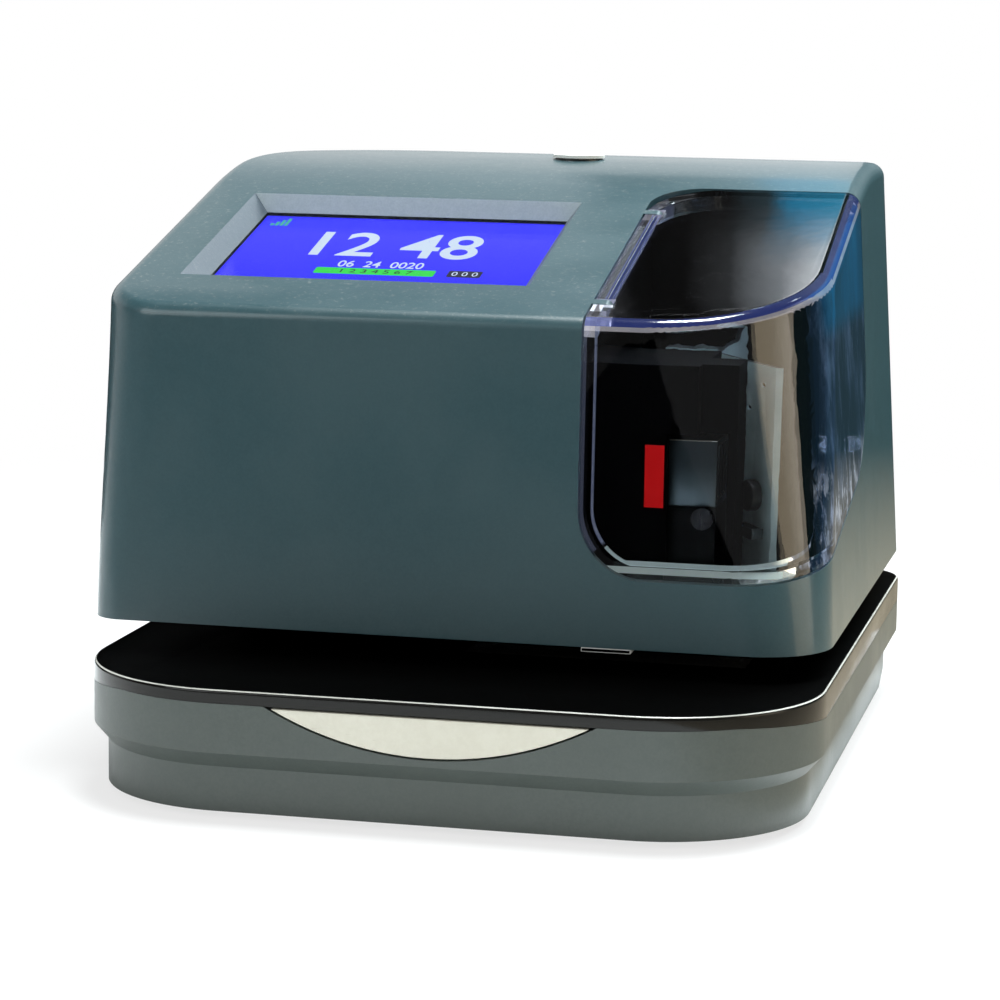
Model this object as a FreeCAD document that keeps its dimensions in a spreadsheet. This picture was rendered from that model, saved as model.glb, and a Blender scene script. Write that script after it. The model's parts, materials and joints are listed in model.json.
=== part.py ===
import FreeCAD, Part
import Sketcher
import math
import os

# Date and time stamp machine: a desk-top printer that stamps the edge of a sheet or a card.
# +Z is up, +Y points to the back, +X to the right; the origin is on the floor under the middle of the base.
# All sizes are in millimetres.

DIMENSIONS = [
    # overall form
    ("overall_width", 159.0, "width over the hood's left side and the base's right side"),
    ("overall_depth", 181.5, "depth from the table's front edge to the back"),
    ("foot_height", 1.5, "how far the rubber feet hold the base off the floor"),
    ("base_height", 20.0, "height of the lower housing"),
    ("table_height", 5.8, "height of the table's rim"),
    ("throat_height", 5.6, "gap between the table and the hood"),
    # hood
    ("hood_left", 79.5, "left side of the hood at its lower edge, from the middle"),
    ("hood_right", 78.4, "right side of the hood at its lower edge, from the middle"),
    ("hood_depth", 145.0, "depth of the hood at its lower edge"),
    ("hood_height", 94.1, "height of the hood from its lower edge to its flat top"),
    ("hood_front_drop", 26.5, "how far the hood's front edge lies below its flat top"),
    ("panel_slope", 14.5, "slope of the front panel in degrees"),
    ("crest_radius", 168.0, "radius of the curve from the sloping panel to the flat top"),
    ("left_draft", 0.3, "lean of the hood's left side in degrees"),
    ("right_draft", 3.6, "lean of the hood's right side in degrees"),
    ("front_draft", 1.7, "lean of the hood's front in degrees"),
    ("back_draft", 1.5, "lean of the hood's back in degrees"),
    ("hood_left_corner", 7.0, "radius of the hood's left front corner at its lower edge"),
    ("hood_left_corner_top", 15.0, "radius of the same corner at its upper end"),
    ("hood_right_corner", 16.0, "radius of the hood's right front corner at its lower edge"),
    ("hood_right_corner_top", 35.0, "radius of the same corner at its upper end"),
    ("hood_back_left_top", 42.0, "radius of the hood's left back corner at its upper end"),
    ("hood_back_corner", 7.0, "radius of the hood's back corners"),
    ("hood_edge_radius", 3.5, "rounding along the hood's upper edges"),
    ("hood_wall", 2.5, "wall of the hood"),
    ("floor_thickness", 2.5, "thickness of the plate that closes the hood from below"),
    ("floor_gap", 0.5, "gap between the floor plate and the hood's wall"),
    ("hood_boss_front", 20.0, "place of the front screw bosses behind the hood's front"),
    ("hood_boss_back", 16.0, "place of the back screw bosses in from the back"),
    ("hood_boss_height", 11.0, "height of the hood's screw bosses"),
    ("hood_screw_reach", 8.0, "how far the screws reach into their bosses"),
    # lower housing and table
    ("base_left_inset", 4.1, "how far the base's left side stands in from the hood's left side"),
    ("base_front_corner", 35.0, "radius of the base's front corners"),
    ("base_back_corner", 12.0, "radius of the base's back corners"),
    ("skirt_inset", 2.9, "how far the skirt stands in from the sides"),
    ("skirt_height", 9.3, "height of the skirt up to the step"),
    ("step_height", 3.4, "height of the sloping step above the skirt"),
    ("base_wall", 2.5, "wall of the lower housing"),
    ("base_deck", 2.2, "thickness of the lower housing's top deck"),
    ("lip_height", 2.9, "how far the lower housing's front lip stands up before the table"),
    ("lip_flat", 7.0, "how far the lip stays level behind the front"),
    ("lip_reach", 36.0, "how far back the lip falls off along both sides"),
    ("table_thickness", 2.4, "thickness of the table's top"),
    ("table_edge_radius", 0.8, "rounding along the table's upper edge"),
    ("table_rim_wall", 3.0, "wall of the table's rim"),
    # clear cover over the ribbon bay
    ("cover_left", 26.6, "left edge of the cover's opening, from the middle"),
    ("cover_sill", 14.2, "height of the opening's front sill above the hood's lower edge"),
    ("cover_back", 88.0, "depth of the opening from the hood's front"),
    ("cover_sill_slope", 11.0, "rise of the opening's lower edge along the side, in degrees"),
    ("cover_front_corner", 14.5, "radius of the opening's lower left corner"),
    ("cover_side_corner", 30.0, "radius of the opening's lower back corner"),
    ("cover_top_corner", 12.0, "radius of the opening's back left corner"),
    ("cover_corner_ease", 6.0, "how much rounder the cover is there than its opening, to swing clear of it"),
    ("cover_wall", 2.0, "wall of the clear cover"),
    ("cover_gap", 0.5, "gap between the cover and its opening"),
    ("cover_flange", 5.0, "depth of the flange along the cover's edge"),
    ("hinge_inset", 2.2, "place of the cover's hinge axis in from the cover's left edge"),
    ("hinge_depth", 1.4, "depth of the hinge axis under the panel's surface"),
    ("hinge_pin_radius", 0.7, "radius of the cover's hinge pin"),
    ("hinge_start", 13.0, "start of the hinge barrel up the panel from the front edge"),
    ("hinge_length", 56.0, "length of the hinge barrel"),
    ("hinge_lug", 2.6, "length of the lugs that hold the hinge pin"),
    ("hinge_side_gap", 0.4, "gap between the hinge barrel and its lugs"),
    ("cover_swing", 100.0, "how far the cover opens, in degrees"),
    # display
    ("recess_left", 65.7, "left edge of the display recess, from the middle"),
    ("recess_width", 77.0, "width of the display recess at the panel"),
    ("recess_start", 19.4, "distance of the recess up the panel from the front edge"),
    ("recess_length", 56.7, "length of the display recess along the panel"),
    ("recess_depth", 4.0, "depth of the display recess"),
    ("screen_width", 70.6, "width of the window at the bottom of the recess"),
    ("screen_length", 53.0, "length of the window at the bottom of the recess"),
    ("recess_frame", 3.2, "frame of hood material around the recess"),
    ("lens_thickness", 1.0, "thickness of the display window"),
    ("lens_lap", 1.6, "how far the display window laps behind its frame"),
    ("panel_module_width", 76.9, "width of the display module"),
    ("panel_module_length", 63.9, "length of the display module"),
    ("panel_module_thickness", 3.2, "thickness of the display module"),
    ("display_board_margin", 4.5, "how far the display board stands out past its module"),
    ("board_thickness", 1.6, "thickness of every circuit board"),
    ("small_screw_radius", 1.2, "shank radius of the small screws"),
    ("small_head_radius", 2.3, "head radius of the small screws"),
    ("small_head_height", 1.5, "head height of the small screws"),
    ("post_radius", 2.6, "radius of the posts that carry the display board"),
    # key lock
    ("lock_x", 1.2, "place of the key lock across the top"),
    ("lock_from_back", 24.0, "distance of the key lock's axis from the back"),
    ("lock_face_radius", 6.2, "radius of the lock's turning face"),
    ("lock_face_height", 0.7, "height of the lock's face above the top"),
    ("lock_rotor_radius", 4.0, "radius of the lock's turning core"),
    ("lock_body_radius", 5.8, "radius of the lock's threaded body"),
    ("lock_length", 16.0, "length of the lock's body under the top"),
    ("lock_clip_size", 9.0, "half width of the clip that holds the lock"),
    ("lock_clip_height", 2.0, "height of the lock's clip"),
    ("lock_cam_length", 22.0, "reach of the lock's cam"),
    ("lock_cam_width", 9.0, "width of the lock's cam"),
    ("lock_cam_thickness", 1.6, "thickness of the lock's cam"),
    ("key_slot_length", 6.0, "length of the key slot"),
    ("key_slot_width", 1.4, "width of the key slot"),
    ("running_gap", 0.05, "radial gap of every turning or sliding fit"),
    ("clearance", 0.3, "general gap between pieces that move past each other"),
    # marker, push bar and feet
    ("marker_left", 28.0, "left end of the print position marker, from the middle"),
    ("marker_width", 10.5, "width of the print position marker"),
    ("marker_length", 6.0, "how far the marker runs back under the hood"),
    ("marker_thickness", 1.0, "thickness of the print position marker"),
    ("push_centre", 4.7, "middle of the push bar, from the middle of the base"),
    ("push_width", 66.6, "width of the push bar at its straight upper edge"),
    ("push_height", 8.4, "height of the push bar at its middle"),
    ("push_depth", 6.0, "depth of the push bar's face piece"),
    ("push_gap", 0.4, "gap around the push bar"),
    ("push_travel", 2.5, "how far the push bar can be pressed"),
    ("push_lip", 1.6, "lip that keeps the push bar in its opening"),
    ("push_top", 0.4, "gap above the push bar, under the table's rim"),
    ("push_lip_depth", 1.6, "how far the lip runs back past the push bar's face piece"),
    ("push_stem_width", 8.0, "width of the push bar's stem"),
    ("push_stem_length", 12.0, "length of the push bar's stem"),
    ("push_spring_radius", 2.4, "radius of the push bar's springs"),
    ("push_spring_wire", 0.35, "wire radius of the push bar's springs"),
    ("push_spring_turns", 6.0, "turns of the push bar's springs"),
    ("push_spring_spread", 14.0, "place of each spring from the push bar's middle"),
    ("foot_radius", 7.0, "radius of the rubber feet"),
    ("foot_inset", 20.0, "place of the feet in from the sides of the base"),
    ("plate_thickness", 1.5, "thickness of the base's bottom plate"),
    ("plate_gap", 0.3, "gap between the bottom plate and the skirt"),
    ("heel_length", 20.0, "length of the slanted cut under the base's back"),
    ("heel_height", 7.5, "height of the slanted cut under the base's back"),
    ("screw_radius", 1.6, "shank radius of the housing screws"),
    ("screw_head_radius", 3.0, "head radius of the housing screws"),
    ("screw_head_height", 1.4, "head height of the housing screws"),
    ("boss_radius", 4.0, "radius of the screw bosses"),
    ("base_screw_inset", 26.0, "place of the base screws in from the sides"),
    ("base_screw_side_inset", 12.0, "place of the back base screws in from the sides"),
    ("throat_screw_x", 46.0, "place of the throat screws from the middle"),
    ("throat_screw_y", 28.0, "distance of the back throat screws from the back, and between the rows"),
    ("wire_way_radius", 5.0, "radius of the hole that leads the wires up into the hood"),
    ("throat_block_width", 140.0, "width of the block that carries the hood"),
    ("throat_block_front", 74.25, "front of the throat block behind the hood's front"),
    ("throat_block_back", 2.75, "back of the throat block in from the back"),
    # electronics in the base
    ("inlet_x", 40.0, "place of the power inlet across the back"),
    ("inlet_width", 9.6, "width and height of the sockets in the back"),
    ("inlet_depth", 14.0, "depth of the sockets"),
    ("inlet_rise", 5.2, "height of the sockets above the slanted cut"),
    ("socket_spacing", 26.0, "distance between the two sockets"),
    ("socket_width", 14.0, "width of the data socket"),
    ("inlet_bore", 3.2, "radius of the power inlet's mouth"),
    ("inlet_pin", 0.9, "radius of the power inlet's pin"),
    ("standoff_height", 3.5, "height of the posts under the main board"),
    ("main_board_left", -42.0, "left edge of the main board, from the middle"),
    ("main_board_width", 78.0, "width of the main board"),
    ("main_board_depth", 56.0, "depth of the main board"),
    ("main_board_back", 26.0, "distance of the main board from the back of the plate"),
    ("board_hole_inset", 4.0, "place of the board's screws in from its edges"),
    ("chip_size", 14.0, "side of the main board's processor"),
    ("chip_height", 1.5, "height of the chips"),
    ("capacitor_radius", 4.0, "radius of the board's capacitors"),
    ("capacitor_height", 6.0, "height of the board's capacitors"),
    ("battery_length", 48.0, "length of the back-up battery"),
    ("battery_depth", 20.0, "depth of the back-up battery"),
    ("battery_height", 11.0, "height of the back-up battery"),
    ("battery_gap", 10.0, "distance of the battery in front of the main board"),
    ("sensor_depth", 8.0, "depth of the push bar's optical switch"),
    ("sensor_cheek", 2.4, "how far the optical switch's cheeks stand past its slot"),
    ("bracket_half", 30.0, "half width of the strip that the push bar's springs rest on"),
    ("spring_length", 8.0, "length of the push bar's springs at rest"),
    # floor, plate and side frames of the print mechanism
    ("print_line", 20.25, "distance of the line of print behind the hood's front"),
    ("window_length", 18.0, "length of the print window from front to back"),
    ("window_left", 41.0, "left end of the print window, from the middle"),
    ("window_right", 58.5, "right end of the print window, from the middle"),
    ("platen_left", 0.0, "left end of the platen, from the middle"),
    ("platen_right", 60.0, "right end of the platen, from the middle"),
    ("platen_length", 10.0, "length of the platen from front to back"),
    ("platen_thickness", 1.6, "thickness of the platen"),
    ("mech_plate", 1.2, "thickness of the mechanism's plate"),
    ("mech_left", 62.0, "left edge of the mechanism's plate, from the middle"),
    ("mech_right", 67.0, "right edge of the mechanism's plate, from the middle"),
    ("mech_front", 10.5, "front edge of the mechanism's plate in front of the line of print"),
    ("mech_back", 78.0, "back edge of the mechanism's plate behind the line of print"),
    ("mech_screw_inset", 2.8, "place of the plate's screws in from its edges"),
    ("frame_sheet", 1.2, "sheet thickness of the side frames"),
    ("left_frame_x", 57.2, "place of the left side frame from the middle"),
    ("left_frame_front", 18.0, "front edge of the left side frame behind the line of print"),
    ("left_frame_length", 54.0, "length of the left side frame"),
    ("right_frame_x", 47.6, "place of the right side frame from the middle"),
    ("right_frame_bend", 23.75, "place of the right frame's bend behind the line of print"),
    ("right_frame_back", 68.0, "back edge of the right side frame behind the line of print"),
    ("wing_x", 64.0, "front end of the right frame's wing, from the middle"),
    ("wing_front", 1.4, "front end of the wing in front of the line of print"),
    ("frame_drop", 10.3, "how far the side frames end below the hood's front edge"),
    ("frame_foot", 6.0, "width of the side frames' feet"),
    ("wing_hole", 4.7, "radius of the large hole in the wing"),
    ("wing_hole_rise", 25.4, "height of the large hole above the mechanism's plate"),
    ("wing_slot", 1.1, "radius of the two small holes in the wing"),
    ("wing_slot_drop", 4.2, "how far the upper small hole lies below the wing's top"),
    ("wing_tab", 12.0, "length of the tab along the frame's top, toward the middle"),
    ("shaft_y", 28.0, "distance of the front guide shaft behind the line of print"),
    ("shaft_rise", 9.4, "height of the guide shafts above the plate"),
    ("shaft_spacing", 10.0, "distance between the guide shafts"),
    ("front_shaft_radius", 3.0, "radius of the front guide shaft"),
    ("rear_shaft_radius", 2.0, "radius of the rear guide shaft"),
    # carriage, head and belt
    ("carriage_left", 23.0, "left side of the carriage at its right end of travel"),
    ("carriage_width", 21.0, "width of the carriage"),
    ("carriage_height", 12.0, "height of the carriage"),
    ("carriage_margin", 6.0, "how far the carriage stands out past the shafts' axes"),
    ("carriage_travel", 30.0, "travel of the carriage"),
    ("head_left", 36.0, "left side of the print head at the carriage's rest place"),
    ("head_width", 17.6, "width of the print head"),
    ("head_front", 8.0, "front of the print head in front of the line of print"),
    ("head_length", 18.0, "length of the print head"),
    ("head_foot", 8.4, "height of the print head's underside above the plate"),
    ("head_height", 16.5, "height of the print head"),
    ("head_room", 30.5, "height up to the cassette that the head and its heat sink share"),
    ("head_nose", 6.0, "length of the head's nose from front to back"),
    ("heatsink_gap", 1.5, "gap between the head's heat sink and the cassette above it"),
    ("fin_count", 5, "number of fins on the heat sink"),
    ("fin_gap", 1.6, "gap between the fins"),
    ("pulley_radius", 4.6, "radius of the belt pulleys"),
    ("pulley_height", 5.0, "height of the belt pulleys"),
    ("pulley_rise", 20.9, "height of the belt pulleys above the plate"),
    ("belt_y", 54.0, "distance of the belt's middle behind the line of print"),
    ("belt_thickness", 0.9, "thickness of the belt"),
    ("belt_height", 4.0, "height of the belt"),
    ("motor_x", 42.0, "place of the carriage motor left of the middle"),
    ("motor_radius", 12.0, "radius of the carriage motor"),
    ("motor_height", 17.4, "height of the carriage motor"),
    ("motor_shaft", 1.5, "radius of the motor shafts"),
    ("idler_x", 39.5, "place of the idler pulley right of the middle"),
    # ribbon
    ("cassette_left", 40.0, "left end of the ribbon cassette, from the middle"),
    ("cassette_right", 50.0, "right end of the ribbon cassette's box, from the middle"),
    ("ribbon_right", 57.5, "right end of the cassette's right arm, from the middle"),
    ("cassette_front", 12.0, "front of the cassette in front of the line of print"),
    ("cassette_length", 30.0, "length of the cassette from front to back"),
    ("cassette_drop", 10.5, "how far the cassette's box lies below the hood's front edge"),
    ("cassette_height", 13.0, "height of the cassette"),
    ("cassette_wall", 1.8, "wall of the cassette"),
    ("lid_thickness", 1.2, "thickness of the cassette's lid"),
    ("shield_right", 44.0, "right end of the cassette's front shield, from the middle"),
    ("shield_foot", 3.4, "height of the shield's lower edge above the plate"),
    ("arm_width", 6.0, "width of the cassette's left arm"),
    ("arm_length", 12.0, "length of the cassette's arms from front to back"),
    ("ribbon_thickness", 0.3, "thickness of the ink ribbon"),
    ("ribbon_width", 8.0, "width of the ink ribbon"),
    ("tab_left", 39.3, "left side of the cassette's red mark, from the middle"),
    ("tab_width", 4.0, "width of the red mark"),
    ("tab_drop", 2.4, "how far the red mark ends below the cassette's box"),
    ("tab_height", 13.0, "height of the red mark"),
    ("tab_thickness", 0.3, "thickness of the red mark"),
    ("gear_module", 0.8, "module of the ribbon drive's gears"),
    ("pinion_teeth", 10, "teeth of the ribbon pinion"),
    ("wheel_teeth", 30, "teeth of the ribbon wheel"),
    ("gear_height", 3.0, "height of the ribbon drive's gears"),
    ("gear_drop", 1.4, "how far the gears' upper faces lie below the cassette's box"),
    ("gear_room", 0.1, "play between the two gears' axes"),
    ("ribbon_motor_x", 24.0, "place of the ribbon motor left of the middle"),
    ("ribbon_motor_y", 9.0, "place of the ribbon motor behind the line of print"),
    ("ribbon_motor_radius", 8.0, "radius of the ribbon motor"),
    ("knob_radius", 7.0, "radius of the knob that tightens the ribbon"),
    ("knob_height", 3.0, "height of the ribbon knob above the cassette's lid"),
    # paper trigger
    ("trigger_x", 33.0, "place of the paper trigger, from the middle"),
    ("trigger_width", 2.4, "width of the paper trigger"),
    ("trigger_y", 50.0, "place of the trigger's pin behind the line of print"),
    ("trigger_rise", 4.0, "height of the trigger's pin above the mechanism's plate"),
    ("trigger_pin", 1.0, "radius of the trigger's pin"),
    ("trigger_arm", 3.0, "width of the trigger's arm from front to back"),
    ("trigger_reach", 4.4, "how far the trigger hangs into the throat"),
    ("trigger_swing", 12.0, "how far the paper turns the trigger, in degrees"),
    # liner inside the hood
    ("liner_sheet", 1.5, "sheet thickness of the liner"),
    ("liner_left", 1.5, "distance of the liner's curtain left of the cover's opening"),
    ("curtain_drop", 8.5, "how far the curtain's lower edge lies below the hood's front edge"),
    ("liner_back", 89.75, "distance of the liner's back wall behind the hood's front"),
    ("liner_right", 70.0, "right end of the liner's back wall, from the middle"),
]

document = FreeCAD.newDocument("time_stamp")
sheet = document.addObject("Spreadsheet::Sheet", "Dims")
for row, (alias, size, note) in enumerate(DIMENSIONS, start=1):
    sheet.set(f"A{row}", alias)
    sheet.set(f"B{row}", str(size))
    sheet.set(f"C{row}", note)
    sheet.setAlias(f"B{row}", alias)
document.recompute()

nodes = []

# Levels and faces that many pieces share, as expressions on the sheet.
FRONT = "(-Dims.overall_depth / 2)"
BACK = "(Dims.overall_depth / 2)"
SIDE = "(Dims.overall_width / 2)"
LEFT_SIDE = "(Dims.overall_width / 2 - Dims.base_left_inset)"
BASE_BOTTOM = "Dims.foot_height"
DECK_TOP = "(Dims.foot_height + Dims.base_height)"
LIP_TOP = "(Dims.foot_height + Dims.base_height + Dims.lip_height)"
TABLE_TOP = "(Dims.foot_height + Dims.base_height + Dims.table_height)"
HOOD_BOTTOM = "(Dims.foot_height + Dims.base_height + Dims.table_height + Dims.throat_height)"
HOOD_FRONT = "(Dims.overall_depth / 2 - Dims.hood_depth)"
HOOD_TOP = f"({HOOD_BOTTOM} + Dims.hood_height)"
EDGE_Y = f"({HOOD_FRONT} + (Dims.hood_height - Dims.hood_front_drop) * tan(Dims.front_draft * 1 deg))"
EDGE_Z = f"({HOOD_TOP} - Dims.hood_front_drop)"
SLOPE = "(Dims.panel_slope * 1 deg)"
CREST_Z = f"({HOOD_TOP} - Dims.crest_radius)"
CREST_Y = (f"({EDGE_Y} + (Dims.crest_radius / cos({SLOPE}) - Dims.crest_radius"
           f" + {HOOD_TOP} - {EDGE_Z}) / tan({SLOPE}))")


def value(expression):
    """Present value of an expression on the sheet."""
    result = sheet.evalExpression(str(expression))
    return float(getattr(result, "Value", result))


def keep(item, label):
    """Names a finished sub-part."""
    item.Label = label
    nodes.append(item)
    return item


def bind(item, **paths):
    for path, expression in paths.items():
        item.setExpression(path.replace("__", "."), str(expression))
    return item


def box(label, x, y, z):
    """Block between two values on each axis."""
    block = document.addObject("Part::Box", label)
    bind(block, Length=f"{x[1]} - ({x[0]})", Width=f"{y[1]} - ({y[0]})", Height=f"{z[1]} - ({z[0]})")
    return bind(block, Placement__Base__x=x[0], Placement__Base__y=y[0], Placement__Base__z=z[0])


AXES = {"x": FreeCAD.Rotation(FreeCAD.Vector(0, 1, 0), 90),
        "y": FreeCAD.Rotation(FreeCAD.Vector(1, 0, 0), -90),
        "z": FreeCAD.Rotation()}


def rod(label, axis, radius, start, end, at):
    """Cylinder along an axis, from start to end, through the point at on the two other axes."""
    cylinder = document.addObject("Part::Cylinder", label)
    cylinder.Placement = FreeCAD.Placement(FreeCAD.Vector(), AXES[axis])
    place = dict(zip([name for name in "xyz" if name != axis], at))
    place[axis] = start
    bind(cylinder, Radius=radius, Height=f"{end} - ({start})")
    return bind(cylinder, Placement__Base__x=place["x"], Placement__Base__y=place["y"],
                Placement__Base__z=place["z"])


def cone(label, low_radius, high_radius, start, end, at):
    """Upright cone."""
    taper = document.addObject("Part::Cone", label)
    bind(taper, Radius1=low_radius, Radius2=high_radius, Height=f"{end} - ({start})")
    return bind(taper, Placement__Base__x=at[0], Placement__Base__y=at[1], Placement__Base__z=start)


def group(label, pieces):
    """Several separate solids under one name."""
    together = document.addObject("Part::Compound", label)
    together.Links = pieces
    return together


def cut(label, base, *tools):
    result = document.addObject("Part::Cut", label)
    result.Base = base
    result.Tool = tools[0] if len(tools) == 1 else fuse(label + "_tools", *tools)
    return result


def fuse(label, *pieces):
    result = document.addObject("Part::MultiFuse", label)
    result.Shapes = list(pieces)
    return result


def common(label, *pieces):
    result = document.addObject("Part::MultiCommon", label)
    result.Shapes = list(pieces)
    return result


def new_body(label):
    body = document.addObject("PartDesign::Body", label)
    return body


def sketch_in(body, role, height="0"):
    """Sketch on one of the body's own origin planes, moved along the plane's normal."""
    sketch = body.newObject("Sketcher::SketchObject", body.Name + "_sketch")
    plane = [item for item in body.Origin.OriginFeatures if item.Role == role][0]
    sketch.AttachmentSupport = (plane, [""])
    sketch.MapMode = "FlatFace"
    return bind(sketch, AttachmentOffset__Base__z=height)


def pin_point(sketch, geometry, end, x, y):
    """Holds one end of a piece of sketch geometry at given coordinates."""
    for kind, expression in (("DistanceX", x), ("DistanceY", y)):
        number = sketch.addConstraint(Sketcher.Constraint(kind, -1, 1, geometry, end, value(expression)))
        sketch.setExpression(f"Constraints[{number}]", str(expression))


def set_size(sketch, kind, geometry, size):
    number = sketch.addConstraint(Sketcher.Constraint(kind, geometry, value(size)))
    sketch.setExpression(f"Constraints[{number}]", str(size))


def polygon(sketch, corners):
    """Closed outline of straight lines through the corners."""
    first = sketch.GeometryCount
    points = [FreeCAD.Vector(value(x), value(y), 0) for x, y in corners]
    count = len(points)
    for index in range(count):
        sketch.addGeometry(Part.LineSegment(points[index], points[(index + 1) % count]))
    for index in range(count):
        following = first + (index + 1) % count
        sketch.addConstraint(Sketcher.Constraint("Coincident", first + index, 2, following, 1))
        pin_point(sketch, first + index, 1, *corners[index])


def circle(sketch, x, y, radius):
    centre = FreeCAD.Vector(value(x), value(y), 0)
    number = sketch.addGeometry(Part.Circle(centre, FreeCAD.Vector(0, 0, 1), value(radius)))
    pin_point(sketch, number, 3, x, y)
    set_size(sketch, "Radius", number, radius)


def rounded_rectangle(sketch, x, y, radii):
    """Rectangle with a radius for each corner: left front, right front, right back, left back."""
    corners = [(x[0], y[0]), (x[1], y[0]), (x[1], y[1]), (x[0], y[1])]
    inward = [(1, 1), (-1, 1), (-1, -1), (1, -1)]
    arcs = []
    for (corner_x, corner_y), (to_x, to_y), radius, turn in zip(corners, inward, radii, range(4)):
        centre = FreeCAD.Vector(value(corner_x) + to_x * value(radius),
                                value(corner_y) + to_y * value(radius), 0)
        ring = Part.Circle(centre, FreeCAD.Vector(0, 0, 1), value(radius))
        start = math.pi + turn * math.pi / 2
        arcs.append(sketch.addGeometry(Part.ArcOfCircle(ring, start, start + math.pi / 2)))
        pin_point(sketch, arcs[-1], 3, f"{corner_x} + ({to_x}) * ({radius})",
                  f"{corner_y} + ({to_y}) * ({radius})")
        set_size(sketch, "Radius", arcs[-1], radius)
    for turn in range(4):
        start = sketch.getPoint(arcs[turn], 2)
        end = sketch.getPoint(arcs[(turn + 1) % 4], 1)
        side = sketch.addGeometry(Part.LineSegment(start, end))
        sketch.addConstraint(Sketcher.Constraint("Tangent", arcs[turn], 2, side, 1))
        sketch.addConstraint(Sketcher.Constraint("Tangent", side, 2, arcs[(turn + 1) % 4], 1))


def pad(body, sketch, length, back_to_back=False):
    feature = body.newObject("PartDesign::Pad", body.Name + "_pad")
    feature.Profile = sketch
    if back_to_back:
        feature.SideType = "Symmetric"
    return bind(feature, Length=length)


def pocket(body, sketch, length, back_to_back=False, downward=True):
    feature = body.newObject("PartDesign::Pocket", body.Name + "_pocket")
    feature.Profile = sketch
    feature.Reversed = not downward
    if back_to_back:
        feature.SideType = "Symmetric"
    return bind(feature, Length=length)


def loft(body, lower, upper):
    feature = body.newObject("PartDesign::AdditiveLoft", body.Name + "_loft")
    feature.Profile = lower
    feature.Sections = [upper]
    feature.Ruled = True
    return feature


def round_edges(body, radius, wanted):
    """Fillet on the edges of the body's last shape that the test picks out."""
    document.recompute()
    last = body.Tip
    names = [f"Edge{number}" for number, edge in enumerate(last.Shape.Edges, start=1)
             if wanted(last.Shape, edge)]
    feature = body.newObject("PartDesign::Fillet", body.Name + "_fillet")
    feature.Base = (last, names)
    return bind(feature, Radius=radius)


def faces_up(face, least=0.5):
    """True where a face looks upward at its middle."""
    low_u, high_u, low_v, high_v = face.ParameterRange
    return face.normalAt((low_u + high_u) / 2, (low_v + high_v) / 2).z > least


def between_top_and_side(shape, edge):
    """True for an edge with an upward face on one side and a standing face on the other."""
    upward = [faces_up(face) for face in shape.ancestorsOfType(edge, Part.Face)]
    return len(upward) == 2 and upward[0] != upward[1]


# ---------------------------------------------------------------- hood

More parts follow.
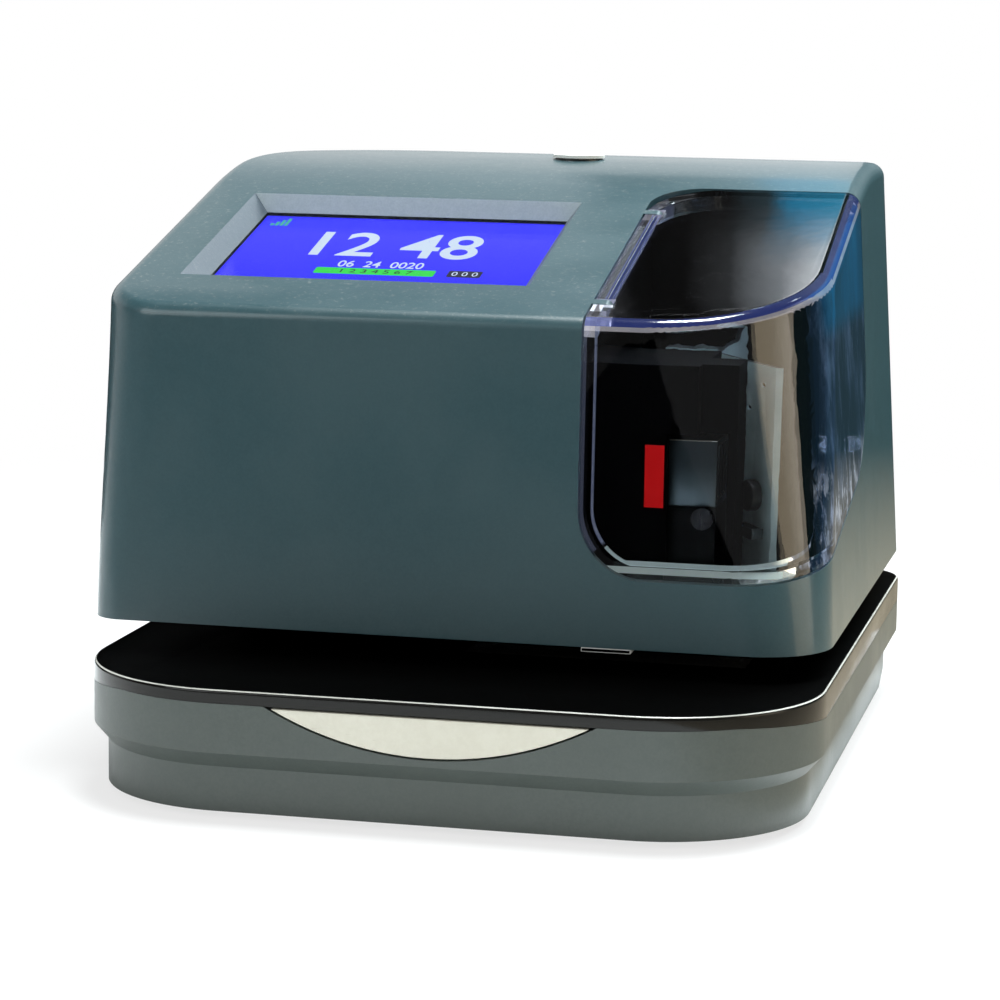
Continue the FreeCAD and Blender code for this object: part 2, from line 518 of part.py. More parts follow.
def hood_form(label, inset, rounded):
    """Outer form of the hood, or the same form drawn inward by the inset."""
    body = new_body(label)
    profile = sketch_in(body, "YZ_Plane")
    radius = f"(Dims.crest_radius - {inset})"
    front_lean = "tan(Dims.front_draft * 1 deg)"
    back_lean = "tan(Dims.back_draft * 1 deg)"
    front_foot = f"({HOOD_FRONT} + {inset})"
    edge_z = (f"({EDGE_Z} - ({inset} * (1 / cos({SLOPE}) - tan({SLOPE})))"
              f" / (1 - tan({SLOPE}) * {front_lean}))")
    edge = (f"({front_foot} + ({edge_z} - {HOOD_BOTTOM}) * {front_lean})", edge_z)
    bend = (f"({CREST_Y} - {radius} * sin({SLOPE}))", f"({CREST_Z} + {radius} * cos({SLOPE}))")
    flat_z = f"({HOOD_TOP} - {inset})"
    crest = (CREST_Y, flat_z)
    back_top = (f"({BACK} - {inset} - ({flat_z} - {HOOD_BOTTOM}) * {back_lean})", flat_z)
    points = [(front_foot, HOOD_BOTTOM), edge, bend, crest, back_top, (f"({BACK} - {inset})", HOOD_BOTTOM)]
    corners = [FreeCAD.Vector(value(y), value(z), 0) for y, z in points]
    crown_turn = math.radians(90 + value("Dims.panel_slope") / 2)
    crown = FreeCAD.Vector(value(CREST_Y) + value(radius) * math.cos(crown_turn),
                           value(CREST_Z) + value(radius) * math.sin(crown_turn), 0)
    crest_arc = 2
    for index, corner in enumerate(corners):
        following = corners[(index + 1) % len(corners)]
        if index == crest_arc:
            profile.addGeometry(Part.Arc(corner, crown, following))
        else:
            profile.addGeometry(Part.LineSegment(corner, following))
    # an arc's first point is the one its turn starts from, here the flat end
    ends = {index: (1, 2) for index in range(len(points))}
    ends[crest_arc] = (2, 1)
    for index, point in enumerate(points):
        following = (index + 1) % len(points)
        pin_point(profile, index, ends[index][0], *point)
        profile.addConstraint(Sketcher.Constraint("Coincident", index, ends[index][1],
                                                  following, ends[following][0]))
    set_size(profile, "Radius", crest_arc, radius)
    pad(body, profile, "2 * Dims.overall_width", back_to_back=True)

    room = "2 * Dims.hood_height"
    for side, foot, lean in ((-1, "Dims.hood_left", "Dims.left_draft"),
                             (1, "Dims.hood_right", "Dims.right_draft")):
        beyond = sketch_in(body, "XZ_Plane")
        foot_x = f"({side}) * ({foot} - {inset})"
        top_x = f"({side}) * ({foot} - {inset} - {room} * tan({lean} * 1 deg))"
        far_x = f"({side}) * 2 * Dims.overall_width"
        polygon(beyond, [(foot_x, HOOD_BOTTOM), (far_x, HOOD_BOTTOM),
                         (far_x, f"{HOOD_BOTTOM} + {room}"), (top_x, f"{HOOD_BOTTOM} + {room}")])
        pocket(body, beyond, "4 * Dims.overall_depth", back_to_back=True)
    document.recompute()

    corner_radii = {(-1, -1): ("Dims.hood_left_corner", "Dims.hood_left_corner_top"),
                    (1, -1): ("Dims.hood_right_corner", "Dims.hood_right_corner_top"),
                    (-1, 1): ("Dims.hood_back_corner", "Dims.hood_back_left_top"),
                    (1, 1): ("Dims.hood_back_corner", "Dims.hood_back_corner")}
    standing = []
    for number, shape_edge in enumerate(body.Shape.Edges, start=1):
        low, high = sorted((vertex.Point for vertex in shape_edge.Vertexes), key=lambda point: point.z)
        if high.z - low.z > value("Dims.hood_height") / 2:
            side = (1 if low.x > 0 else -1, 1 if low.y > 0 else -1)
            radii = [value(f"{radius} - {inset}") for radius in corner_radii[side]]
            if shape_edge.valueAt(shape_edge.FirstParameter).z > low.z + 1:
                radii.reverse()
            standing.append((number, *radii))
    rounded_corners = document.addObject("Part::Fillet", label + "_corners")
    rounded_corners.Base = body
    rounded_corners.Edges = standing
    if not rounded:
        return rounded_corners
    document.recompute()
    rim = [number for number, shape_edge in enumerate(rounded_corners.Shape.Edges, start=1)
           if between_top_and_side(rounded_corners.Shape, shape_edge)]
    softened = document.addObject("Part::Fillet", label + "_rim")
    softened.Base = rounded_corners
    softened.Edges = [(number, value("Dims.hood_edge_radius"), value("Dims.hood_edge_radius"))
                      for number in rim]
    return softened


def cover_region(label, inset, back_inset, corner="Dims.cover_top_corner"):
    """Space of the ribbon bay's opening: a front view, a side view and a plan view crossed."""
    front_view = new_body(label + "_front_view")
    sketch = sketch_in(front_view, "XZ_Plane")
    left = f"(Dims.cover_left + {inset})"
    sill = f"({HOOD_BOTTOM} + Dims.cover_sill + {inset})"
    rounded_rectangle(sketch, (left, "Dims.overall_width"), (sill, f"2 * {HOOD_TOP}"),
                      [f"(Dims.cover_front_corner - {inset})"] * 4)
    pad(front_view, sketch, "2 * Dims.overall_depth", back_to_back=True)

    side_view = new_body(label + "_side_view")
    sketch = sketch_in(side_view, "YZ_Plane")
    rise = "(Dims.cover_sill_slope * 1 deg)"
    back = f"({HOOD_FRONT} + Dims.cover_back - {back_inset})"
    near = f"({HOOD_FRONT} - Dims.hood_wall)"
    near_z = f"({HOOD_BOTTOM} + Dims.cover_sill + {inset} - Dims.hood_wall * tan({rise}))"
    corner_z = f"({near_z} + ({back} - {near}) * tan({rise}))"
    radius = f"(Dims.cover_side_corner - {inset})"
    reach = f"({radius} * tan((90 deg - {rise}) / 2))"
    low = (f"({back} - {reach} * cos({rise}))", f"({corner_z} - {reach} * sin({rise}))")
    high = (back, f"({corner_z} + {reach})")
    over = f"(2 * {HOOD_TOP})"
    points = [(near, near_z), low, high, (back, over), (near, over)]
    corners = [FreeCAD.Vector(value(y), value(z), 0) for y, z in points]
    centre = corners[2] - FreeCAD.Vector(value(radius), 0, 0)
    turn = (math.radians(value("Dims.cover_sill_slope")) - math.pi / 2) / 2
    middle = centre + FreeCAD.Vector(math.cos(turn), math.sin(turn), 0) * value(radius)
    sketch.addGeometry(Part.LineSegment(corners[0], corners[1]))
    sketch.addGeometry(Part.Arc(corners[1], middle, corners[2]))
    for index in (2, 3, 4):
        sketch.addGeometry(Part.LineSegment(corners[index], corners[(index + 1) % 5]))
    pin_point(sketch, 1, 1, *low)
    pin_point(sketch, 1, 2, *high)
    set_size(sketch, "Radius", 1, radius)
    for index in (0, 3, 4):
        pin_point(sketch, index, 1, *points[index])
    for index in range(5):
        sketch.addConstraint(Sketcher.Constraint("Coincident", index, 2, (index + 1) % 5, 1))
    pad(side_view, sketch, "2 * Dims.overall_width", back_to_back=True)

    plan_view = new_body(label + "_plan_view")
    sketch = sketch_in(plan_view, "XY_Plane")
    rounded_rectangle(sketch, (left, "Dims.overall_width"), ("-Dims.overall_depth", back),
                      [f"({corner} - {inset})"] * 4)
    pad(plan_view, sketch, f"2 * {HOOD_TOP}")
    return common(label, front_view, side_view, plan_view)


hood_outside = hood_form("hood_outside", "0", rounded=True)
hood_inside = hood_form("hood_inside", "Dims.hood_wall", rounded=False)
opening = cover_region("opening", "0", "0")


def on_panel(item, x="0", along="0", depth="0"):
    """Lays an item on the sloping panel: its own Y runs up the slope and its Z stands out of the panel."""
    item.Placement = FreeCAD.Placement(FreeCAD.Vector(), FreeCAD.Rotation(FreeCAD.Vector(1, 0, 0), 1))
    bind(item, Placement__Rotation__Angle="Dims.panel_slope", Placement__Base__x=x)
    y = f"{EDGE_Y} + ({along}) * cos({SLOPE}) + ({depth}) * sin({SLOPE})"
    z = f"{EDGE_Z} + ({along}) * sin({SLOPE}) - ({depth}) * cos({SLOPE})"
    return bind(item, Placement__Base__y=y, Placement__Base__z=z)


def panel_box(label, x, along, depth):
    """Block on the sloping panel: depth runs from its upper to its lower face, under the panel."""
    block = document.addObject("Part::Box", label)
    bind(block, Length=f"{x[1]} - ({x[0]})", Width=f"{along[1]} - ({along[0]})",
         Height=f"{depth[1]} - ({depth[0]})")
    return on_panel(block, x[0], along[0], depth[1])


def panel_rod(label, radius, x, along, depth):
    """Cylinder that stands square to the sloping panel, between two depths under it."""
    cylinder = document.addObject("Part::Cylinder", label)
    bind(cylinder, Radius=radius, Height=f"{depth[1]} - ({depth[0]})")
    return on_panel(cylinder, x, along, depth[1])


def hinge_rod(label, radius, start, end):
    """Cylinder along the cover's hinge axis, between two distances up the panel."""
    cylinder = document.addObject("Part::Cylinder", label)
    cylinder.Placement = FreeCAD.Placement(FreeCAD.Vector(), FreeCAD.Rotation(FreeCAD.Vector(1, 0, 0), -80))
    bind(cylinder, Radius=radius, Height=f"{end} - ({start})", Placement__Base__x=HINGE_X)
    cylinder.setExpression("Placement.Rotation.Axis.x", "-1")
    cylinder.setExpression("Placement.Rotation.Angle", "90 - Dims.panel_slope")
    y = f"{EDGE_Y} + ({start}) * cos({SLOPE}) + Dims.hinge_depth * sin({SLOPE})"
    z = f"{EDGE_Z} + ({start}) * sin({SLOPE}) - Dims.hinge_depth * cos({SLOPE})"
    return bind(cylinder, Placement__Base__y=y, Placement__Base__z=z)


HINGE_X = "(Dims.cover_left + Dims.cover_gap + Dims.hinge_inset)"
HINGE_END = "(Dims.hinge_start + Dims.hinge_length)"
BARREL_RADIUS = "Dims.hinge_depth"
LUGS = (("front", "(Dims.hinge_start - Dims.hinge_side_gap - Dims.hinge_lug)",
         "(Dims.hinge_start - Dims.hinge_side_gap)"),
        ("back", f"({HINGE_END} + Dims.hinge_side_gap)",
         f"({HINGE_END} + Dims.hinge_side_gap + Dims.hinge_lug)"))

# Display recess: four sloping walls down to the window, in a frame of hood material.
RECESS_X = ("(-Dims.recess_left)", "(Dims.recess_width - Dims.recess_left)")
RECESS_Y = ("Dims.recess_start", "(Dims.recess_start + Dims.recess_length)")
SCREEN_MIDDLE_X = "(Dims.recess_width / 2 - Dims.recess_left)"
SCREEN_MIDDLE_Y = "(Dims.recess_start + Dims.recess_length / 2)"
SCREEN_X = (f"({SCREEN_MIDDLE_X} - Dims.screen_width / 2)", f"({SCREEN_MIDDLE_X} + Dims.screen_width / 2)")
SCREEN_Y = (f"({SCREEN_MIDDLE_Y} - Dims.screen_length / 2)",
            f"({SCREEN_MIDDLE_Y} + Dims.screen_length / 2)")
FRAME_DEPTH = "Dims.recess_depth"
POST_DEPTH = "(Dims.recess_depth + Dims.lens_thickness + Dims.panel_module_thickness)"
BOARD_DEPTH = f"({POST_DEPTH} + Dims.board_thickness)"
POSTS_X = [f"({SCREEN_MIDDLE_X} {sign} (Dims.panel_module_width / 2 + Dims.post_radius + Dims.clearance))"
           for sign in "-+"]
POSTS_Y = [f"({SCREEN_MIDDLE_Y} {sign} (Dims.screen_length / 2 - Dims.post_radius))" for sign in "-+"]


def recess_tool():
    """The recess narrows from its opening in the panel to the window at its bottom."""
    body = new_body("recess_tool")
    window = sketch_in(body, "XY_Plane", "-Dims.recess_depth")
    polygon(window, [(x, y) for x, y in ((SCREEN_X[0], SCREEN_Y[0]), (SCREEN_X[1], SCREEN_Y[0]),
                                         (SCREEN_X[1], SCREEN_Y[1]), (SCREEN_X[0], SCREEN_Y[1]))])
    mouth = sketch_in(body, "XY_Plane")
    polygon(mouth, [(x, y) for x, y in ((RECESS_X[0], RECESS_Y[0]), (RECESS_X[1], RECESS_Y[0]),
                                        (RECESS_X[1], RECESS_Y[1]), (RECESS_X[0], RECESS_Y[1]))])
    loft(body, window, mouth)
    return on_panel(body)


def wider(span, margin):
    return (f"({span[0]} - {margin})", f"({span[1]} + {margin})")


frame_span_x = wider(RECESS_X, "Dims.recess_frame")
frame_span_y = wider(RECESS_Y, "Dims.recess_frame")
recess_frame = panel_box("recess_frame", frame_span_x, frame_span_y, ("0", FRAME_DEPTH))
display_posts = [panel_rod("display_post", "Dims.post_radius", x, y, ("Dims.hood_wall / 2", POST_DEPTH))
                 for x in POSTS_X for y in POSTS_Y]
post_holes = [panel_rod("post_hole", "Dims.small_screw_radius", x, y, (FRAME_DEPTH, BOARD_DEPTH))
              for x in POSTS_X for y in POSTS_Y]

# Screw bosses in the hood's four lower corners, grown out of its side walls.
HOOD_FLOOR_TOP = f"({HOOD_BOTTOM} + Dims.floor_thickness)"
HOOD_BOSS_X = ["(-Dims.hood_left + Dims.hood_wall + Dims.boss_radius)",
               "(Dims.hood_right - Dims.hood_wall - Dims.boss_radius)"]
HOOD_BOSS_Y = [f"({HOOD_FRONT} + Dims.hood_boss_front)", f"({BACK} - Dims.hood_boss_back)"]
hood_boss_places = [(x, y) for x in HOOD_BOSS_X for y in HOOD_BOSS_Y]
hood_bosses = [rod("hood_boss", "z", "Dims.boss_radius", HOOD_FLOOR_TOP,
                   f"{HOOD_FLOOR_TOP} + Dims.hood_boss_height", place) for place in hood_boss_places]
hood_boss_holes = [rod("hood_boss_hole", "z", "Dims.screw_radius", HOOD_FLOOR_TOP,
                       f"{HOOD_FLOOR_TOP} + Dims.hood_screw_reach", place) for place in hood_boss_places]

LOCK = ("Dims.lock_x", f"({BACK} - Dims.lock_from_back)")
lock_hole = rod("lock_hole", "z", "Dims.lock_body_radius", f"{HOOD_TOP} - 2 * Dims.hood_wall",
                f"{HOOD_TOP} + Dims.hood_wall", LOCK)

hood_frames = fuse("hood_frames", recess_frame, *display_posts, *hood_bosses)
hood_frames_inside = common("hood_frames_inside", hood_frames, hood_outside)
hood_wall = cut("hood_wall", hood_outside, hood_inside)
hood_lugs = []
for name, start, end in LUGS:
    arm = panel_box(f"hinge_{name}_arm", ("(Dims.cover_left - Dims.hood_wall)", HINGE_X), (start, end),
                    ("0", "2 * Dims.hinge_depth"))
    hood_lugs.append(fuse(f"hinge_{name}_lug", arm,
                          hinge_rod(f"hinge_{name}_eye", BARREL_RADIUS, start, end)))
hinge_hole = hinge_rod("hinge_hole", "Dims.hinge_pin_radius", LUGS[0][1], LUGS[1][2])
hood_open = cut("hood_open", fuse("hood_walls", hood_wall, hood_frames_inside), opening, recess_tool(),
                lock_hole)
hood_shell = cut("hood_shell", fuse("hood_with_lugs", hood_open, *hood_lugs), hinge_hole, *hood_boss_holes,
                 *post_holes)
keep(hood_shell, "hood_shell")

# Clear cover: the hood's own outer form inside the opening, with a flange along its edge.
cover_inside = hood_form("cover_inside", "Dims.cover_wall", rounded=False)
flange_inside = hood_form("flange_inside", "Dims.cover_flange", rounded=False)
COVER_CORNER = "(Dims.cover_top_corner + Dims.cover_corner_ease)"
COVER_HOLLOW_GAP = "(Dims.cover_gap + Dims.cover_wall)"
cover_space = cover_region("cover_space", "Dims.cover_gap", "Dims.cover_gap", COVER_CORNER)
cover_hollow_space = cover_region("cover_hollow_space", COVER_HOLLOW_GAP, COVER_HOLLOW_GAP, COVER_CORNER)
cover_skin = common("cover_skin", hood_outside, cover_space)
cover_hollow = common("cover_hollow", cover_inside, cover_hollow_space)
cover_barrel = hinge_rod("cover_barrel", BARREL_RADIUS, "Dims.hinge_start", HINGE_END)
notches = []
for name, start, end in LUGS:
    notches.append(panel_box(f"cover_{name}_notch",
                             ("Dims.cover_left", f"{HINGE_X} + {BARREL_RADIUS} + Dims.cover_gap"),
                             (f"{start} - Dims.hinge_side_gap", f"{end} + Dims.hinge_side_gap"),
                             ("-Dims.hood_wall", "Dims.cover_flange + Dims.hood_wall")))
cover_shell = cut("cover_shell", cover_skin, cover_hollow, flange_inside)
cover_form = fuse("cover_form", cover_shell, cover_barrel)
cover_bore = hinge_rod("cover_bore", "Dims.hinge_pin_radius + Dims.running_gap", LUGS[0][1], LUGS[1][2])
ribbon_cover = cut("ribbon_cover", cover_form, cover_bore, *notches)
keep(ribbon_cover, "ribbon_cover")
keep(hinge_rod("cover_hinge_pin", "Dims.hinge_pin_radius", LUGS[0][1], LUGS[1][2]), "cover_hinge_pin")

# ---------------------------------------------------------------- display and key lock

LENS_X = wider(SCREEN_X, "Dims.lens_lap")
LENS_Y = wider(SCREEN_Y, "Dims.lens_lap")
LENS_DEPTH = (FRAME_DEPTH, f"({FRAME_DEPTH} + Dims.lens_thickness)")
MODULE_X = (f"({SCREEN_MIDDLE_X} - Dims.panel_module_width / 2)",
            f"({SCREEN_MIDDLE_X} + Dims.panel_module_width / 2)")
MODULE_Y = (f"({SCREEN_MIDDLE_Y} - Dims.panel_module_length / 2)",
            f"({SCREEN_MIDDLE_Y} + Dims.panel_module_length / 2)")
MODULE_DEPTH = (LENS_DEPTH[1], POST_DEPTH)
keep(panel_box("display_lens", LENS_X, LENS_Y, LENS_DEPTH), "display_lens")
keep(panel_box("display_panel", MODULE_X, MODULE_Y, MODULE_DEPTH), "display_panel")
board_span_x = (f"({POSTS_X[0]} - Dims.post_radius)", f"({POSTS_X[1]} + Dims.post_radius)")
display_board_blank = panel_box("display_board_blank", board_span_x, MODULE_Y, (POST_DEPTH, BOARD_DEPTH))
keep(cut("display_board", display_board_blank, *post_holes), "display_board")
display_screws = []
for x in POSTS_X:
    for y in POSTS_Y:
        shank = panel_rod("display_screw_shank", "Dims.small_screw_radius", x, y,
                          (FRAME_DEPTH, BOARD_DEPTH))
        head = panel_rod("display_screw_head", "Dims.small_head_radius", x, y,
                         (BOARD_DEPTH, f"({BOARD_DEPTH} + Dims.small_head_height)"))
        display_screws.append(fuse("display_screw", shank, head))
keep(group("display_screws", display_screws), "display_screws")

LOCK_FOOT = f"({HOOD_TOP} - Dims.lock_length)"
lock_tube = rod("lock_tube", "z", "Dims.lock_body_radius", LOCK_FOOT, HOOD_TOP, LOCK)
lock_bore = rod("lock_bore", "z", "Dims.lock_rotor_radius + Dims.running_gap", f"{LOCK_FOOT} - 1",
                f"{HOOD_TOP} + 1", LOCK)
keep(cut("lock_barrel", lock_tube, lock_bore), "lock_barrel")
CAM_TOP = f"({LOCK_FOOT} - Dims.clearance)"
CAM_FOOT = f"({CAM_TOP} - Dims.lock_cam_thickness)"
lock_core = rod("lock_core", "z", "Dims.lock_rotor_radius", CAM_TOP, f"{HOOD_TOP} + Dims.clearance", LOCK)
lock_face = rod("lock_face", "z", "Dims.lock_face_radius", f"{HOOD_TOP} + Dims.clearance",
                f"{HOOD_TOP} + Dims.clearance + Dims.lock_face_height", LOCK)
key_slot = box("key_slot", (f"{LOCK[0]} - Dims.key_slot_length / 2",
                            f"{LOCK[0]} + Dims.key_slot_length / 2"),
               (f"{LOCK[1]} - Dims.key_slot_width / 2", f"{LOCK[1]} + Dims.key_slot_width / 2"),
               (f"{HOOD_TOP} - Dims.lock_length / 2", f"{HOOD_TOP} + 2 * Dims.lock_face_height"))
keep(cut("lock_rotor", fuse("lock_rotor_form", lock_core, lock_face), key_slot), "lock_rotor")
cam_arm = box("cam_arm", (f"{LOCK[0]} - Dims.lock_cam_length", LOCK[0]),
              (f"{LOCK[1]} - Dims.lock_cam_width / 2", f"{LOCK[1]} + Dims.lock_cam_width / 2"),
              (CAM_FOOT, CAM_TOP))
cam_eye = rod("cam_eye", "z", "Dims.lock_rotor_radius + Dims.lock_cam_thickness", CAM_FOOT, CAM_TOP, LOCK)
keep(fuse("lock_cam", cam_arm, cam_eye), "lock_cam")
CLIP_TOP = f"({HOOD_TOP} - Dims.hood_wall - 2 * Dims.running_gap)"
CLIP_Z = (f"({CLIP_TOP} - Dims.lock_clip_height)", CLIP_TOP)
clip_blank = box("clip_blank", (f"{LOCK[0]} - Dims.lock_clip_size", f"{LOCK[0]} + Dims.lock_clip_size"),
                 (LOCK[1], f"{LOCK[1]} + Dims.lock_clip_size"), CLIP_Z)
clip_hole = rod("clip_hole", "z", "Dims.lock_body_radius", f"{CLIP_Z[0]} - 1", HOOD_TOP, LOCK)
keep(cut("lock_clip", clip_blank, clip_hole), "lock_clip")

# ---------------------------------------------------------------- lower housing

SKIRT_TOP = "(Dims.foot_height + Dims.skirt_height)"
STEP_TOP = "(Dims.foot_height + Dims.skirt_height + Dims.step_height)"


def base_outline(sketch, inset):
    rounded_rectangle(sketch, (f"-{LEFT_SIDE} + {inset}", f"{SIDE} - {inset}"),
                      (f"{FRONT} + {inset}", f"{BACK} - {inset}"),
                      [f"(Dims.base_front_corner - {inset})"] * 2
                      + [f"(Dims.base_back_corner - {inset})"] * 2)


def base_form(label, wall, top):
    """Skirt, sloping step and straight upper part of the lower housing, drawn inward by the wall."""
    body = new_body(label)
    inset = f"(Dims.skirt_inset + {wall})"
    skirt = sketch_in(body, "XY_Plane", BASE_BOTTOM)
    base_outline(skirt, inset)
    pad(body, skirt, "Dims.skirt_height")
    lower = sketch_in(body, "XY_Plane", SKIRT_TOP)
    base_outline(lower, inset)
    upper = sketch_in(body, "XY_Plane", STEP_TOP)
    base_outline(upper, wall)
    loft(body, lower, upper)
    straight = sketch_in(body, "XY_Plane", STEP_TOP)
    base_outline(straight, wall)
    pad(body, straight, f"{top} - {STEP_TOP}")
    return body


def front_lip(label, inset):
    """Space over the deck that is level along the front and falls off along both sides."""
    body = new_body(label)
    sketch = sketch_in(body, "XY_Plane", DECK_TOP)
    base_outline(sketch, inset)
    pad(body, sketch, "Dims.lip_height")
    behind = sketch_in(body, "YZ_Plane")
    polygon(behind, [(f"({FRONT} + Dims.lip_flat)", LIP_TOP), (f"({FRONT} + Dims.lip_reach)", DECK_TOP),
                     (f"({FRONT} + Dims.lip_reach)", f"({DECK_TOP} - Dims.lip_height)"),
                     (f"({BACK} + Dims.lip_flat)", f"({DECK_TOP} - Dims.lip_height)"),
                     (f"({BACK} + Dims.lip_flat)", f"({LIP_TOP} + Dims.lip_height)"),
                     (f"({FRONT} + Dims.lip_flat)", f"({LIP_TOP} + Dims.lip_height)")])
    pocket(body, behind, "4 * Dims.overall_depth", back_to_back=True)
    return body


base_outside = base_form("base_outside", "0", DECK_TOP)
base_inside = base_form("base_inside", "Dims.base_wall", f"({DECK_TOP} - Dims.base_deck)")
lip_space = front_lip("lip_space", "0")
lip_wall = cut("lip_wall", lip_space, front_lip("lip_hollow", "Dims.table_rim_wall"))


def heel_wedge():
    """Slanted space under the back of the base, open to both sides."""
    body = new_body("heel_wedge")
    sketch = sketch_in(body, "YZ_Plane")
    polygon(sketch, [(f"{BACK} - Dims.heel_length", f"{BASE_BOTTOM} - Dims.foot_height"),
                     (f"{BACK} + Dims.heel_length", f"{BASE_BOTTOM} - Dims.foot_height"),
                     (f"{BACK} + Dims.heel_length", f"{BASE_BOTTOM} + 2 * Dims.heel_height"),
                     (BACK, f"{BASE_BOTTOM} + Dims.heel_height"),
                     (f"{BACK} - Dims.heel_length", BASE_BOTTOM)])
    pad(body, sketch, "2 * Dims.overall_width", back_to_back=True)
    return body


PUSH_X = "Dims.push_centre"
PUSH_RADIUS = "((Dims.push_width ^ 2 / 4 + Dims.push_height ^ 2) / (2 * Dims.push_height))"


def crescent(label, margin, y):
    """Round-bottomed segment under the lip's edge, widened all round by the margin."""
    disc = rod(label + "_disc", "y", f"{PUSH_RADIUS} + {margin}", y[0], y[1],
               (PUSH_X, f"({LIP_TOP} - Dims.push_height + {PUSH_RADIUS})"))
    band = box(label + "_band", ("-Dims.overall_width", "Dims.overall_width"),
               (f"{y[0]} - 1", f"{y[1]} + 1"), (BASE_BOTTOM, f"{LIP_TOP} - Dims.push_top + {margin}"))
    return common(label, disc, band)


PUSH_FACE_BACK = f"({FRONT} + Dims.push_depth)"
push_window = crescent("push_window", "Dims.push_gap",
                       (f"{FRONT} - 1", f"{PUSH_FACE_BACK} + Dims.push_travel + Dims.clearance"))
base_bosses = []
base_pilots = []
base_screws = []
BASE_SCREW_PLACES = [(f"({sign}) * ({side} - {side_in})", y)
                     for sign, side in ((-1, LEFT_SIDE), (1, SIDE))
                     for side_in, y in (("Dims.base_screw_inset", f"({FRONT} + Dims.base_screw_inset)"),
                                        ("Dims.base_screw_side_inset",
                                         f"({BACK} - Dims.base_screw_inset)"))]
PLATE_TOP = f"({BASE_BOTTOM} + Dims.plate_thickness)"
PLATE_HEAD = f"({BASE_BOTTOM} - Dims.screw_head_height)"
for place in BASE_SCREW_PLACES:
    base_bosses.append(rod("base_boss", "z", "Dims.boss_radius", PLATE_TOP, f"{DECK_TOP} - Dims.base_deck",
                           place))
    base_pilots.append(rod("base_pilot", "z", "Dims.screw_radius",
                           f"{PLATE_TOP} - Dims.plate_thickness - 1",
                           f"{PLATE_TOP} + Dims.hood_screw_reach", place))
    shank = rod("base_screw_shank", "z", "Dims.screw_radius", BASE_BOTTOM,
                f"{PLATE_TOP} + Dims.hood_screw_reach",
                place)
    head = rod("base_screw_head", "z", "Dims.screw_head_radius", PLATE_HEAD, BASE_BOTTOM, place)
    base_screws.append(fuse("base_screw", shank, head))
base_walls = cut("base_walls", fuse("base_with_lip", base_outside, lip_wall), base_inside)
throat_screw_places = [(f"({sign}) * Dims.throat_screw_x", f"({row})") for sign in (-1, 1)
                       for row in (f"{BACK} - Dims.throat_screw_y", f"{BACK} - 2 * Dims.throat_screw_y")]
throat_holes = [rod("throat_hole", "z", "Dims.screw_radius", f"{DECK_TOP} - Dims.base_deck - 1",
                    HOOD_FLOOR_TOP, place) for place in throat_screw_places]
wire_way = rod("wire_way", "z", "Dims.wire_way_radius", f"{DECK_TOP} - 2 * Dims.base_deck",
               f"{HOOD_FLOOR_TOP} + 1", ("(-Dims.throat_screw_x / 2)", f"({BACK} - Dims.throat_screw_y)"))
INLET_X = "Dims.inlet_x"
SOCKET_X = "(Dims.inlet_x - Dims.socket_spacing)"
SOCKETS_Z = "(Dims.foot_height + Dims.heel_height + Dims.inlet_rise)"
inlet_hole = box("inlet_hole", (f"{INLET_X} - Dims.inlet_width / 2", f"{INLET_X} + Dims.inlet_width / 2"),
                 (f"{BACK} - 3 * Dims.base_wall", f"{BACK} + 1"),
                 (f"{SOCKETS_Z} - Dims.inlet_width / 2", f"{SOCKETS_Z} + Dims.inlet_width / 2"))
socket_hole = box("socket_hole", (f"{SOCKET_X} - Dims.socket_width / 2",
                                  f"{SOCKET_X} + Dims.socket_width / 2"),
                  (f"{BACK} - 3 * Dims.base_wall", f"{BACK} + 1"),
                  (f"{SOCKETS_Z} - Dims.inlet_width / 2", f"{SOCKETS_Z} + Dims.inlet_width / 2"))
base_shell = cut("base_shell", fuse("base_with_bosses", base_walls, *base_bosses), heel_wedge(),
                 push_window,
                 inlet_hole, socket_hole, wire_way, *base_pilots, *throat_holes)
keep(base_shell, "base_shell")
keep(group("base_screws", base_screws), "base_screws")

# Bottom plate: sheet steel with flanges turned up behind the slanted cut, and posts for the main board.
PLATE_INSET = "(Dims.skirt_inset + Dims.base_wall + Dims.plate_gap)"
PLATE_BACK = f"({BACK} - {PLATE_INSET})"
plate_blank = new_body("plate_blank")
plate_sketch = sketch_in(plate_blank, "XY_Plane", BASE_BOTTOM)
base_outline(plate_sketch, PLATE_INSET)
pad(plate_blank, plate_sketch, "Dims.plate_thickness")
FLANGE_Z = (BASE_BOTTOM, f"({BASE_BOTTOM} + Dims.heel_height)")
PLATE_X = (f"({PLATE_INSET} - {LEFT_SIDE})", f"({SIDE} - {PLATE_INSET})")
plate_flanges = [box("plate_back_flange", (f"({PLATE_X[0]} + Dims.base_back_corner - {PLATE_INSET})",
                                           f"({PLATE_X[1]} - Dims.base_back_corner + {PLATE_INSET})"),
                     (f"{PLATE_BACK} - Dims.plate_thickness", PLATE_BACK), FLANGE_Z)]
for x in ((PLATE_X[0], f"{PLATE_X[0]} + Dims.plate_thickness"),
          (f"{PLATE_X[1]} - Dims.plate_thickness", PLATE_X[1])):
    plate_flanges.append(box("plate_side_flange", x, (f"{BACK} - Dims.heel_length",
                                                      f"{BACK} - Dims.base_back_corner"), FLANGE_Z))
MAIN_BOARD_Z = f"({PLATE_TOP} + Dims.standoff_height)"
BOARD_X = ("Dims.main_board_left", "(Dims.main_board_left + Dims.main_board_width)")
BOARD_Y = (f"({PLATE_BACK} - Dims.main_board_back - Dims.main_board_depth)",
           f"({PLATE_BACK} - Dims.main_board_back)")
BOARD_HOLES = [(f"({x} {into_x} Dims.board_hole_inset)", f"({y} {into_y} Dims.board_hole_inset)")
               for x, into_x in zip(BOARD_X, "+-") for y, into_y in zip(BOARD_Y, "+-")]
